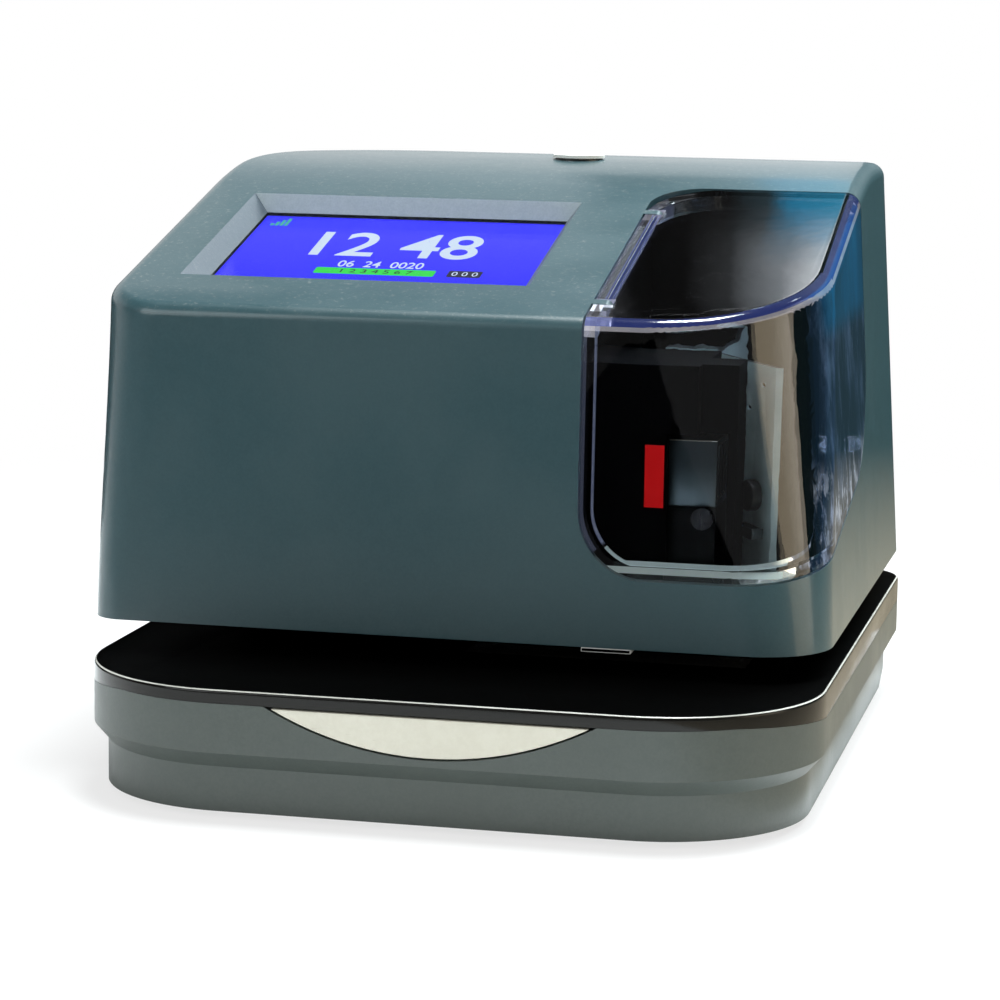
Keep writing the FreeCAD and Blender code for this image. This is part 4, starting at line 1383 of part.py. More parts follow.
keep(box("ribbon_tab", ("Dims.tab_left", "Dims.tab_left + Dims.tab_width"),
         (f"{CASSETTE_Y[0]} - Dims.tab_thickness", CASSETTE_Y[0]),
         (f"{CASSETTE_Z[0]} - Dims.tab_drop - Dims.tab_height",
          f"{CASSETTE_Z[0]} - Dims.tab_drop")), "ribbon_tab")


def gear(label, teeth, height, phase):
    """Spur gear around its own Z axis: a root disc with one trapezoid tooth repeated round it."""
    body = new_body(label)
    pitch_radius = f"(Dims.gear_module * {teeth} / 2)"
    root = sketch_in(body, "XY_Plane")
    circle(root, "0", "0", f"{pitch_radius} - 1.25 * Dims.gear_module")
    pad(body, root, height)
    tooth = sketch_in(body, "XY_Plane")
    low = f"({pitch_radius} - 1.4 * Dims.gear_module)"
    high = f"({pitch_radius} + 0.9 * Dims.gear_module)"
    polygon(tooth, [("-1.05 * Dims.gear_module", low), ("1.05 * Dims.gear_module", low),
                    ("0.38 * Dims.gear_module", high), ("-0.38 * Dims.gear_module", high)])
    tooth_pad = pad(body, tooth, height)
    pattern = body.newObject("PartDesign::PolarPattern", label + "_teeth")
    pattern.Originals = [tooth_pad]
    pattern.Axis = (tooth, ["N_Axis"])
    pattern.Angle = 360
    bind(pattern, Occurrences=teeth)
    body.Tip = pattern
    body.Placement = FreeCAD.Placement(FreeCAD.Vector(), FreeCAD.Rotation(FreeCAD.Vector(0, 0, 1), 1))
    return bind(body, Placement__Rotation__Angle=phase)


GEAR_Z = (f"({CASSETTE_Z[0]} - Dims.gear_drop - Dims.gear_height)", f"({CASSETTE_Z[0]} - Dims.gear_drop)")
motor_case = rod("ribbon_motor_case", "z", "Dims.ribbon_motor_radius", MECH_TOP,
                 f"{GEAR_Z[0]} - Dims.clearance", PINION)
pinion_shaft = rod("pinion_shaft", "z", "Dims.motor_shaft", f"{GEAR_Z[0]} - 1", GEAR_Z[1], PINION)
keep(fuse("ribbon_motor", motor_case, pinion_shaft), "ribbon_motor")
for label, teeth, place, phase in (("ribbon_pinion", "Dims.pinion_teeth", PINION, "-90"),
                                   ("ribbon_wheel", "Dims.wheel_teeth", WHEEL,
                                    "90 + 180 / Dims.wheel_teeth")):
    spur = gear(label + "_spur", teeth, "Dims.gear_height", phase)
    bind(spur, Placement__Base__x=place[0], Placement__Base__y=place[1], Placement__Base__z=GEAR_Z[0])
    if label == "ribbon_pinion":
        gear_bore = rod("pinion_bore", "z", "Dims.motor_shaft + Dims.running_gap", f"{GEAR_Z[0]} - 1",
                        f"{GEAR_Z[1]} + 1", place)
        keep(cut(label, spur, gear_bore), label)
    else:
        spindle = rod("spindle", "z", "Dims.motor_shaft", GEAR_Z[0],
                      f"{CASSETTE_Z[1]} + Dims.lid_thickness", place)
        keep(fuse(label, spur, spindle), label)
KNOB_Z = (f"({CASSETTE_Z[1]} + Dims.lid_thickness)",
          f"({CASSETTE_Z[1]} + Dims.lid_thickness + Dims.knob_height)")
knob_slot = box("knob_slot", (f"{WHEEL[0]} - Dims.knob_radius / 2", f"{WHEEL[0]} + Dims.knob_radius / 2"),
                (f"{WHEEL[1]} - Dims.lid_thickness / 2", f"{WHEEL[1]} + Dims.lid_thickness / 2"),
                (f"{KNOB_Z[0]} + Dims.knob_height / 2", f"{KNOB_Z[1]} + 1"))
keep(cut("ribbon_knob", rod("knob_disc", "z", "Dims.knob_radius", *KNOB_Z, WHEEL), knob_slot),
     "ribbon_knob")

# ---------------------------------------------------------------- paper trigger and liner

TRIGGER_Z = f"({MECH_TOP} + Dims.trigger_rise)"
TRIGGER_X = ("(Dims.trigger_x - Dims.trigger_width / 2)", "(Dims.trigger_x + Dims.trigger_width / 2)")
trigger_arm = box("trigger_arm", TRIGGER_X, (f"{TRIGGER_Y} - Dims.trigger_arm / 2",
                                             f"{TRIGGER_Y} + Dims.trigger_arm / 2"),
                  (f"{HOOD_BOTTOM} - Dims.trigger_reach", TRIGGER_Z))
trigger_eye = rod("trigger_eye", "x", "Dims.trigger_arm / 2 + Dims.trigger_pin", *TRIGGER_X,
                  (TRIGGER_Y, TRIGGER_Z))
trigger_bore = rod("trigger_bore", "x", "Dims.trigger_pin + Dims.running_gap", f"{TRIGGER_X[0]} - 1",
                   f"{TRIGGER_X[1]} + 1", (TRIGGER_Y, TRIGGER_Z))
keep(cut("paper_trigger", fuse("trigger_form", trigger_arm, trigger_eye), trigger_bore), "paper_trigger")
CHEEKS = [(f"({TRIGGER_X[0]} - Dims.clearance - Dims.trigger_width)", f"({TRIGGER_X[0]} - Dims.clearance)"),
          (f"({TRIGGER_X[1]} + Dims.clearance)", f"({TRIGGER_X[1]} + Dims.clearance + Dims.trigger_width)")]
PIN_X = (CHEEKS[0][0], CHEEKS[1][1])
keep(rod("trigger_pin", "x", "Dims.trigger_pin", *PIN_X, (TRIGGER_Y, TRIGGER_Z)), "trigger_pin")
pin_hole = rod("pin_hole", "x", "Dims.trigger_pin", *PIN_X, (TRIGGER_Y, TRIGGER_Z))
CHEEK_Y = (f"({TRIGGER_Y} - 1.5 * Dims.trigger_arm)", f"({TRIGGER_Y} + 3 * Dims.trigger_arm)")
cheeks = [box("trigger_cheek", x, CHEEK_Y, (MECH_TOP, f"{TRIGGER_Z} + Dims.trigger_arm")) for x in CHEEKS]
cheek_tie = box("cheek_tie", PIN_X, (f"{CHEEK_Y[1]} - Dims.trigger_arm", CHEEK_Y[1]),
                (MECH_TOP, f"{TRIGGER_Z} + Dims.trigger_arm"))
keep(cut("trigger_bracket", fuse("bracket_cheeks", *cheeks, cheek_tie), pin_hole), "trigger_bracket")

liner_space = hood_form("liner_space", "(Dims.hood_wall + Dims.clearance)", rounded=False)
CURTAIN_X = ("(Dims.cover_left - Dims.liner_left - Dims.liner_sheet)",
             "(Dims.cover_left - Dims.liner_left)")
LINER_Y = (f"({HOOD_FRONT} + Dims.liner_back - Dims.liner_sheet)", f"({HOOD_FRONT} + Dims.liner_back)")
curtain = box("curtain", CURTAIN_X, (HOOD_FRONT, LINER_Y[1]), (f"{EDGE_Z} - Dims.curtain_drop", HOOD_TOP))
back_curtain = box("back_curtain", (CURTAIN_X[0], "Dims.liner_right"), LINER_Y, (MECH_TOP, HOOD_TOP))
keep(common("inner_liner", fuse("liner_form", curtain, back_curtain), liner_space), "inner_liner")

# ---------------------------------------------------------------- checks and files

document.recompute()
for item in document.Objects:
    state = [word for word in item.State if word in ("Invalid", "Error")]
    if state:
        raise RuntimeError(f"{item.Label}: {state}")
os.makedirs("parts", exist_ok=True)
for item in nodes:
    if item.Shape.isNull() or not item.Shape.isValid():
        raise RuntimeError(f"{item.Label} has no valid shape")
for item in nodes:
    item.Shape.exportStep(f"parts/{item.Label}.step")
print(f"{len(nodes)} sub-parts written")
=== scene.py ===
import json
import math
import bpy
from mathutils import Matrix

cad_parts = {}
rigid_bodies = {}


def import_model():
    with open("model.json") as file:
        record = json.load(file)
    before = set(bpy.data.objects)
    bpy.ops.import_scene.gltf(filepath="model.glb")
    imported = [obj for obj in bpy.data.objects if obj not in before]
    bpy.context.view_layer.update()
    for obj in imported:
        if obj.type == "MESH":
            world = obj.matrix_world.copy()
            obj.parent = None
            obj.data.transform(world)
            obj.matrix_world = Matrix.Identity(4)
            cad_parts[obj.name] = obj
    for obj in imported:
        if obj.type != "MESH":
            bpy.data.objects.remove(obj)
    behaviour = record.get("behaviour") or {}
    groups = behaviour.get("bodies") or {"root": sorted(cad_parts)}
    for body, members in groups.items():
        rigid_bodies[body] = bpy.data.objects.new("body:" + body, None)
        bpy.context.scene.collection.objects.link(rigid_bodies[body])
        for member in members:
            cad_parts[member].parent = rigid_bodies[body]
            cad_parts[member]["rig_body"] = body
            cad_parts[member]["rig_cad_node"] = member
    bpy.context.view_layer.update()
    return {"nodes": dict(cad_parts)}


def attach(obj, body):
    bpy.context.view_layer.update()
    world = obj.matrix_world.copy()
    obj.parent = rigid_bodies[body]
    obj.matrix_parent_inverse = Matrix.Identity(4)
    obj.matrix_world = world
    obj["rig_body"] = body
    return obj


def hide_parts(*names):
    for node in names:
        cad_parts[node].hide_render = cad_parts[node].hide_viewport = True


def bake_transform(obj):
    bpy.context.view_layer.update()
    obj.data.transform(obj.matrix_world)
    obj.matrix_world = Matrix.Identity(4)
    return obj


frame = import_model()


# ---------------------------------------------------------------- base shell
# The lower housing is one moulding of slate ABS with a finely sparked skin, a
# stepped skirt and a hollow underside. It stands on rubber feet and carries the rest.
def make_group(name, inputs, outputs):
    """An empty shader group with its named sockets; gives back the group and its two ends."""
    tree = bpy.data.node_groups.new(name, "ShaderNodeTree")
    for label, start in inputs:
        socket = tree.interface.new_socket(label, in_out="INPUT", socket_type="NodeSocketFloat")
        socket.default_value = start
    for label in outputs:
        tree.interface.new_socket(label, in_out="OUTPUT", socket_type="NodeSocketFloat")
    return tree, tree.nodes.new("NodeGroupInput"), tree.nodes.new("NodeGroupOutput")


def wire(tree, start, end):
    tree.links.new(start, end)


def noise(tree, place, scale, detail=3.0, roughness=0.55):
    node = tree.nodes.new("ShaderNodeTexNoise")
    node.inputs["Detail"].default_value = detail
    node.inputs["Roughness"].default_value = roughness
    wire(tree, place, node.inputs["Vector"])
    if isinstance(scale, (int, float)):
        node.inputs["Scale"].default_value = scale
    else:
        wire(tree, scale, node.inputs["Scale"])
    return node.outputs["Fac"]


def sums(tree, kind, first, second):
    """One Math node; each side is a socket or a number."""
    node = tree.nodes.new("ShaderNodeMath")
    node.operation = kind
    for socket, side in zip(node.inputs, (first, second)):
        if isinstance(side, (int, float)):
            socket.default_value = side
        else:
            wire(tree, side, socket)
    return node.outputs[0]


def band(tree, value, low, high, out_low=0.0, out_high=1.0):
    """Maps a value from one range to another and holds it there."""
    node = tree.nodes.new("ShaderNodeMapRange")
    node.interpolation_type = "SMOOTHSTEP"
    wire(tree, value, node.inputs["Value"])
    for label, number in (("From Min", low), ("From Max", high), ("To Min", out_low), ("To Max", out_high)):
        node.inputs[label].default_value = number
    return node.outputs["Result"]


def object_place(tree):
    return tree.nodes.new("ShaderNodeTexCoord").outputs["Object"]


# sparked mould skin: fine pits of two sizes, and a speckle that follows them
spark_skin, ends_in, ends_out = make_group("spark_skin", [("Pits per metre", 1500.0)], ["Height", "Speckle"])
place = object_place(spark_skin)
fine = noise(spark_skin, place, ends_in.outputs[0], 4.0, 0.7)
coarse = noise(spark_skin, place, sums(spark_skin, "MULTIPLY", ends_in.outputs[0], 0.28), 2.0, 0.5)
both = sums(spark_skin, "ADD", sums(spark_skin, "MULTIPLY", fine, 0.7),
            sums(spark_skin, "MULTIPLY", coarse, 0.3))
wire(spark_skin, both, ends_out.inputs["Height"])
wire(spark_skin, band(spark_skin, both, 0.36, 0.64), ends_out.inputs["Speckle"])

# handling: broad cloudy rubbing, and dust that settles on what faces up
handling, ends_in, ends_out = make_group("handling", [("Clouds per metre", 22.0)], ["Rub", "Dust", "Scratch"])
place = object_place(handling)
rub = band(handling, noise(handling, place, ends_in.outputs[0], 5.0, 0.6), 0.38, 0.68)
wire(handling, rub, ends_out.inputs["Rub"])
facing = handling.nodes.new("ShaderNodeSeparateXYZ")
wire(handling, handling.nodes.new("ShaderNodeNewGeometry").outputs["Normal"], facing.inputs[0])
motes = band(handling, noise(handling, place, 900.0, 2.0, 0.8), 0.55, 0.8)
settled = sums(handling, "MULTIPLY", band(handling, facing.outputs["Z"], 0.3, 1.0), motes)
wire(handling, settled, ends_out.inputs["Dust"])
stretch = handling.nodes.new("ShaderNodeMapping")
stretch.inputs["Rotation"].default_value = (0.3, 0.2, 0.7)
stretch.inputs["Scale"].default_value = (1.0, 14.0, 9.0)
wire(handling, place, stretch.inputs["Vector"])
lines = noise(handling, stretch.outputs[0], 160.0, 2.0, 0.4)
wire(handling, band(handling, lines, 0.66, 0.72), ends_out.inputs["Scratch"])


def add_group(tree, group, **settings):
    node = tree.nodes.new("ShaderNodeGroup")
    node.node_tree = group
    for label, number in settings.items():
        node.inputs[label.replace("_", " ")].default_value = number
    return node


def blend_colours(tree, factor, first, second):
    """Mixes two colours, each a socket or three numbers, by a factor socket."""
    node = tree.nodes.new("ShaderNodeMix")
    node.data_type = "RGBA"
    wire(tree, factor, node.inputs["Factor"])
    for socket, side in ((node.inputs["A"], first), (node.inputs["B"], second)):
        if isinstance(side, tuple):
            socket.default_value = (*side, 1.0)
        else:
            wire(tree, side, socket)
    return node.outputs["Result"]


def new_finish(name, **constants):
    """A material with its Principled shader; constants go straight on the shader's sockets."""
    finish = bpy.data.materials.new(name)
    finish.use_nodes = True
    shader = finish.node_tree.nodes["Principled BSDF"]
    for label, number in constants.items():
        shader.inputs[label.replace("_", " ")].default_value = number
    return finish, finish.node_tree, shader


def raise_skin(tree, shader, height, depth):
    """Bump of a given depth, in metres, into the shader's normal."""
    bump = tree.nodes.new("ShaderNodeBump")
    bump.inputs["Strength"].default_value = 1.0
    bump.inputs["Distance"].default_value = depth
    wire(tree, height, bump.inputs["Height"])
    wire(tree, bump.outputs["Normal"], shader.inputs["Normal"])


def moulded_plastic(name, colour, worn, gloss, pits=1500.0, depth=0.00003, clouds=22.0, dust=0.25,
                    **constants):
    """Moulded plastic: sparked skin, cloudy rubbing in colour and gloss, a little dust on top."""
    finish, tree, shader = new_finish(name, **constants)
    skin = add_group(tree, spark_skin, Pits_per_metre=pits)
    hands = add_group(tree, handling, Clouds_per_metre=clouds)
    dust_colour = (0.42, 0.41, 0.38)
    mottled = blend_colours(tree, sums(tree, "MULTIPLY", skin.outputs["Speckle"], 0.5), colour, worn)
    clouded = blend_colours(tree, sums(tree, "MULTIPLY", hands.outputs["Rub"], 0.3), mottled, worn)
    dusty = blend_colours(tree, sums(tree, "MULTIPLY", hands.outputs["Dust"], dust), clouded, dust_colour)
    wire(tree, dusty, shader.inputs["Base Color"])
    rough = band(tree, hands.outputs["Rub"], 0.0, 1.0, gloss, gloss + 0.07)
    rough = sums(tree, "SUBTRACT", rough, sums(tree, "MULTIPLY", hands.outputs["Scratch"], 0.06))
    wire(tree, rough, shader.inputs["Roughness"])
    raise_skin(tree, shader, skin.outputs["Height"], depth)
    return finish


def finished(node, label, finish, angle=35.0, edge=0.0, rides=True):
    """The piece of one node with its doubles merged, smooth where it is curved, in its finish.

    It rides on its node's body unless rides is false, when it is left on no body.
    """
    bpy.ops.object.select_all(action="DESELECT")
    source = frame["nodes"][node]
    source.select_set(True)
    bpy.context.view_layer.objects.active = source
    bpy.ops.object.duplicate()
    piece = bpy.context.view_layer.objects.active
    piece.name = label
    piece.parent = None
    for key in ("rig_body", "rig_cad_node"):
        if key in piece:
            del piece[key]
    bpy.ops.object.mode_set(mode="EDIT")
    bpy.ops.mesh.select_all(action="SELECT")
    bpy.ops.mesh.customdata_custom_splitnormals_clear()
    bpy.ops.mesh.remove_doubles(threshold=0.000002)
    bpy.ops.mesh.dissolve_limited(angle_limit=math.radians(0.05))
    bpy.ops.object.mode_set(mode="OBJECT")
    if edge:
        round_off = piece.modifiers.new("round_off", "BEVEL")
        round_off.width = edge
        round_off.segments = 2
        round_off.limit_method = "ANGLE"
        round_off.angle_limit = math.radians(50.0)
        round_off.harden_normals = False
        bpy.ops.object.modifier_apply(modifier="round_off")
    bpy.ops.object.shade_smooth_by_angle(angle=math.radians(angle))
    piece.data.materials.clear()
    piece.data.materials.append(finish)
    if rides:
        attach(piece, source["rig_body"])
    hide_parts(node)
    return piece


slate_base = moulded_plastic("slate_base", (0.060, 0.074, 0.068), (0.080, 0.094, 0.086), 0.36)
finished("base_shell", "base_moulding", slate_base)


# ---------------------------------------------------------------- base plate, feet and their screws
# A pressed zinc-coated plate closes the underside. Four small screws hold it up to the
# bosses of the base shell, and four rubber feet are stuck to it.
zinc_plate, tree, shader = new_finish("zinc_plate", Metallic=1.0)
place = object_place(tree)
flakes = tree.nodes.new("ShaderNodeTexVoronoi")
flakes.inputs["Scale"].default_value = 260.0
wire(tree, place, flakes.inputs["Vector"])
flake = tree.nodes.new("ShaderNodeSeparateColor")
wire(tree, flakes.outputs["Color"], flake.inputs[0])
hands = add_group(tree, handling, Clouds_per_metre=30.0)
spangle = blend_colours(tree, flake.outputs[0], (0.50, 0.52, 0.53), (0.66, 0.67, 0.67))
dulled = blend_colours(tree, sums(tree, "MULTIPLY", hands.outputs["Rub"], 0.25), spangle, (0.36, 0.36, 0.35))
wire(tree, dulled, shader.inputs["Base Color"])
wire(tree, band(tree, flake.outputs[1], 0.0, 1.0, 0.30, 0.46), shader.inputs["Roughness"])
raise_skin(tree, shader, flake.outputs[2], 0.000012)


def turned_metal(name, colour, tarnish, gloss, turns=900.0, depth=0.000006):
    """Turned or ground metal: fine tool lines along the piece and a faint tarnish."""
    finish, tree, shader = new_finish(name, Metallic=1.0)
    marks = tree.nodes.new("ShaderNodeMapping")
    marks.inputs["Scale"].default_value = (1.0, 0.08, 0.08)
    wire(tree, object_place(tree), marks.inputs["Vector"])
    tool = noise(tree, marks.outputs[0], turns, 3.0, 0.6)
    hands = add_group(tree, handling, Clouds_per_metre=90.0)
    wire(tree, blend_colours(tree, sums(tree, "MULTIPLY", hands.outputs["Rub"], 0.4), colour, tarnish),
         shader.inputs["Base Color"])
    wire(tree, band(tree, tool, 0.3, 0.7, gloss - 0.05, gloss + 0.09), shader.inputs["Roughness"])
    raise_skin(tree, shader, tool, depth)
    return finish


screw_steel = turned_metal("screw_steel", (0.42, 0.42, 0.43), (0.25, 0.25, 0.26), 0.30)
foot_rubber = moulded_plastic("foot_rubber", (0.016, 0.016, 0.017), (0.030, 0.030, 0.030), 0.72,
                              pits=900.0, depth=0.00006, dust=0.6)
finished("base_plate", "base_cover_plate", zinc_plate)
finished("base_screws", "base_plate_screws", screw_steel)
finished("rubber_feet", "foot_pads", foot_rubber)


# ---------------------------------------------------------------- control board, sockets and springs
# The glass-fibre control board is screwed down inside the base, with the sockets in the
# back edge. Before it on the plate are the battery and the push bar's switch and springs.
board_mask, tree, shader = new_finish("board_mask")
place = object_place(tree)
tracks = tree.nodes.new("ShaderNodeTexBrick")
tracks.inputs["Scale"].default_value = 150.0
tracks.inputs["Mortar Size"].default_value = 0.09
wire(tree, place, tracks.inputs["Vector"])
copper = sums(tree, "MULTIPLY", tracks.outputs["Fac"], 0.7)
weave = noise(tree, place, 2600.0, 2.0, 0.5)
mask = blend_colours(tree, weave, (0.010, 0.085, 0.040), (0.014, 0.110, 0.052))
wire(tree, blend_colours(tree, copper, mask, (0.030, 0.190, 0.085)), shader.inputs["Base Color"])
wire(tree, band(tree, weave, 0.3, 0.7, 0.26, 0.36), shader.inputs["Roughness"])
raise_skin(tree, shader, tracks.outputs["Fac"], 0.00003)
black_plastic = moulded_plastic("black_plastic", (0.010, 0.010, 0.011), (0.020, 0.020, 0.021), 0.38,
                                pits=1200.0)
battery_wrap = moulded_plastic("battery_wrap", (0.020, 0.110, 0.300), (0.035, 0.150, 0.360), 0.28,
                               pits=700.0)
bright_steel = turned_metal("bright_steel", (0.62, 0.62, 0.62), (0.48, 0.48, 0.47), 0.18)
finished("main_board", "control_board", board_mask)
finished("board_screws", "control_board_screws", screw_steel)
finished("backup_battery", "backup_cells", battery_wrap)
finished("power_inlet", "power_inlet_body", black_plastic)
finished("data_socket", "data_socket_body", black_plastic)
finished("push_sensor", "push_switch", black_plastic)
finished("spring_bracket", "spring_carrier", zinc_plate)
springs = finished("push_springs", "push_bar_springs", bright_steel, rides=False)
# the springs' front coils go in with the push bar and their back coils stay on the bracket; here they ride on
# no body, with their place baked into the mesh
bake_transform(springs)


# ---------------------------------------------------------------- push bar
# The cream crescent in the base's front is the push bar for a print by hand. It is a
# polished moulding, yellowed a little, that slides straight in against two springs.
cream_plastic = moulded_plastic("cream_plastic", (0.640, 0.620, 0.530), (0.570, 0.545, 0.455), 0.30,
                                pits=800.0, depth=0.000008, clouds=16.0, dust=0.1)
finished("push_bar", "push_bar_crescent", cream_plastic, edge=0.0002)


# ---------------------------------------------------------------- paper table, platen and throat
# The card lies on a glossy black table with a thin rim; the platen rubber is let into it
# under the head. The throat block behind stops the card and carries the hood.
def faces_in(piece, finish, chosen):
    """Gives another finish to the faces that are chosen by their middle and normal."""
    piece.data.materials.append(finish)
    added = len(piece.data.materials) - 1
    for face in piece.data.polygons:
        if chosen(face.center, face.normal):
            face.material_index = added


table_gloss = moulded_plastic("table_gloss", (0.0040, 0.0038, 0.0032), (0.007, 0.0065, 0.005), 0.16,
                              pits=500.0, depth=0.000004, clouds=14.0, dust=0.03, Specular_IOR_Level=0.30)
table_black = moulded_plastic("table_black", (0.0006, 0.0006, 0.0006), (0.0012, 0.0012, 0.0012), 0.45,
                              pits=700.0, depth=0.000004, clouds=14.0, dust=0.002, Specular_IOR_Level=0.004)
# a pale painted highlight for edges that face the light, on the table's upper edge and the head's fins
painted_edge_highlight = moulded_plastic("painted_edge_highlight", (0.34, 0.34, 0.31), (0.62, 0.62, 0.58), 0.25, pits=300.0,
                            clouds=60.0, dust=0.05)
platen_rubber = moulded_plastic("platen_rubber", (0.012, 0.012, 0.012), (0.020, 0.020, 0.020), 0.62,
                                pits=1500.0)
table = finished("paper_table", "card_table", table_gloss, edge=0.0002)
table_top = max(corner.co.z for corner in table.data.vertices)
edge_depth = 0.0003
faces_in(table, table_black, lambda middle, normal: normal.z > 0.97)
# the table's upper edge gets a thin painted highlight line
faces_in(table, painted_edge_highlight, lambda middle, normal: 0.2 < normal.z < 0.9 and middle.z > table_top - edge_depth)
finished("platen", "platen_strip", platen_rubber)
finished("throat_block", "throat_moulding", black_plastic)
finished("throat_screws", "throat_block_screws", screw_steel)


# ---------------------------------------------------------------- hood
# The hood is the large slate moulding over the works. Its skin is a satin spark
# finish; the screen recess and the ribbon bay's opening are moulded in it.
slate_hood = moulded_plastic("slate_hood", (0.020, 0.058, 0.070), (0.032, 0.074, 0.086), 0.34,
                             Coat_Weight=0.5, Coat_Roughness=0.13)
hood = finished("hood_shell", "hood_moulding", slate_hood)

# the sloping panel's angle, its front edge's y and z, and its recess, measured along the slope
slope = math.radians(14.5)
panel_y, panel_z = -0.05224, 0.1005
recess_left, recess_right = -0.0662, 0.0118
recess_low, recess_high = 0.0190, 0.0765
recess_deep = 0.0042


def recess_wall(middle, normal):
    """Walls of the screen's recess, which stand square to the sloping panel."""
    along = (middle.y - panel_y) * math.cos(slope) + (middle.z - panel_z) * math.sin(slope)
    depth = (middle.y - panel_y) * math.sin(slope) - (middle.z - panel_z) * math.cos(slope)
    square = abs(normal.z * math.cos(slope) - normal.y * math.sin(slope)) < 0.8
    inside = recess_left < middle.x < recess_right and recess_low < along < recess_high
    return square and inside and -0.0001 < depth < recess_deep


# the recess walls are moulded in the hood's slate, but are painted pale grey here as painted light for the
# light they catch; the side walls get a darker copy as painted shade
recess_painted_light = moulded_plastic("recess_painted_light", (0.36, 0.44, 0.47), (0.48, 0.56, 0.58), 0.40, pits=2200.0,
                              depth=0.00005)
recess_painted_shade = moulded_plastic("recess_painted_shade", (0.055, 0.075, 0.095), (0.080, 0.105, 0.125), 0.40,
                               pits=2200.0, depth=0.00005)
faces_in(hood, recess_painted_light, recess_wall)
faces_in(hood, recess_painted_shade, lambda middle, normal: recess_wall(middle, normal) and abs(normal.x) > 0.5)
finished("hood_floor", "hood_floor_plate", black_plastic)
finished("hood_screws", "hood_floor_screws", screw_steel)
# the place mark is pale, with a dark front edge
pale_mark = moulded_plastic("pale_mark", (0.70, 0.70, 0.68), (0.60, 0.60, 0.57), 0.40, pits=900.0,
                            depth=0.00001)
marker = finished("position_marker", "print_place_mark", pale_mark, edge=0.0002)
faces_in(marker, table_black, lambda middle, normal: normal.y < -0.97)


# ---------------------------------------------------------------- display
# A colour screen lies deep in the hood's recess behind a clear, glare-free window. It
# shows the hour in large white numbers on blue, a smaller row of numbers and a green bar.
window, tree, shader = new_finish("display_window", Transmission_Weight=1.0, IOR=1.08)
hands = add_group(tree, handling, Clouds_per_metre=30.0)
wire(tree, blend_colours(tree, hands.outputs["Dust"], (0.98, 0.98, 0.99), (0.90, 0.90, 0.90)),
     shader.inputs["Base Color"])
wire(tree, band(tree, hands.outputs["Rub"], 0.0, 1.0, 0.01, 0.05), shader.inputs["Roughness"])
finished("display_lens", "screen_window", window)
module_black = moulded_plastic("module_black", (0.008, 0.008, 0.009), (0.014, 0.014, 0.015), 0.30,
                               pits=900.0)
module = finished("display_panel", "screen_module", module_black)
finished("display_board", "screen_board", board_mask)
finished("display_screws", "screen_screws", screw_steel)
# the module's face lies a little under the window, with the picture between them
picture_gap = 0.00025
bpy.ops.object.select_all(action="DESELECT")
module.select_set(True)
bpy.context.view_layer.objects.active = module
bpy.ops.object.mode_set(mode="EDIT")
bpy.ops.mesh.select_all(action="SELECT")
bpy.ops.transform.translate(value=(0.0, picture_gap * math.sin(slope), -picture_gap * math.cos(slope)))
bpy.ops.object.mode_set(mode="OBJECT")

# the lit picture: fine pixel rows, mixed with a cloudy unevenness
picture_rows, ends_in, ends_out = make_group("picture_rows", [("Rows per metre", 2600.0)], ["Rows"])
place = object_place(picture_rows)
rows = picture_rows.nodes.new("ShaderNodeTexWave")
rows.bands_direction = "X"
wire(picture_rows, place, rows.inputs["Vector"])
wire(picture_rows, ends_in.outputs[0], rows.inputs["Scale"])
cloud = noise(picture_rows, place, 60.0, 1.0, 0.5)
wire(picture_rows, sums(picture_rows, "ADD", sums(picture_rows, "MULTIPLY", rows.outputs["Fac"], 0.4),
                        sums(picture_rows, "MULTIPLY", cloud, 0.6)), ends_out.inputs["Rows"])


def screen_light(name, colour, dimmer, strength=1.0):
    """A lit colour of the screen on its dark glass."""
    finish, tree, shader = new_finish(name, Roughness=0.6, Specular_IOR_Level=0.0, Emission_Strength=strength)
    shader.inputs["Base Color"].default_value = (0.004, 0.004, 0.005, 1.0)
    pixels = add_group(tree, picture_rows)
    wire(tree, blend_colours(tree, pixels.outputs["Rows"], dimmer, colour), shader.inputs["Emission Color"])
    return finish


def lay_on_screen(piece, x, along, depth):
    """Turns a piece drawn flat about its middle onto the screen, at a depth under the sloping panel."""
    piece.rotation_euler = (slope, 0.0, 0.0)
    piece.location = (x, panel_y + along * math.cos(slope) + depth * math.sin(slope),
                      panel_z + along * math.sin(slope) - depth * math.cos(slope))
    bpy.ops.object.transform_apply(location=True, rotation=True, scale=True)
    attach(piece, "machine")


patch_thickness = 0.00003


def screen_patch(label, finish, left, right, low, high, depth, corner):
    """A thin plate of the picture with rounded corners."""
    bpy.ops.object.select_all(action="DESELECT")
    bpy.ops.mesh.primitive_plane_add(size=1.0)
    patch = bpy.context.view_layer.objects.active
    patch.name = label
    patch.scale = (right - left, high - low, 1.0)
    bpy.ops.object.transform_apply(scale=True)
    bpy.ops.object.mode_set(mode="EDIT")
    bpy.ops.mesh.select_all(action="SELECT")
    bpy.ops.mesh.bevel(offset=corner, segments=5, affect="VERTICES")
    bpy.ops.mesh.extrude_region_move(TRANSFORM_OT_translate={"value": (0.0, 0.0, -patch_thickness)})
    bpy.ops.mesh.select_all(action="SELECT")
    bpy.ops.mesh.normals_make_consistent(inside=False)
    bpy.ops.object.mode_set(mode="OBJECT")
    patch.data.materials.append(finish)
    lay_on_screen(patch, (left + right) / 2, (low + high) / 2, depth)


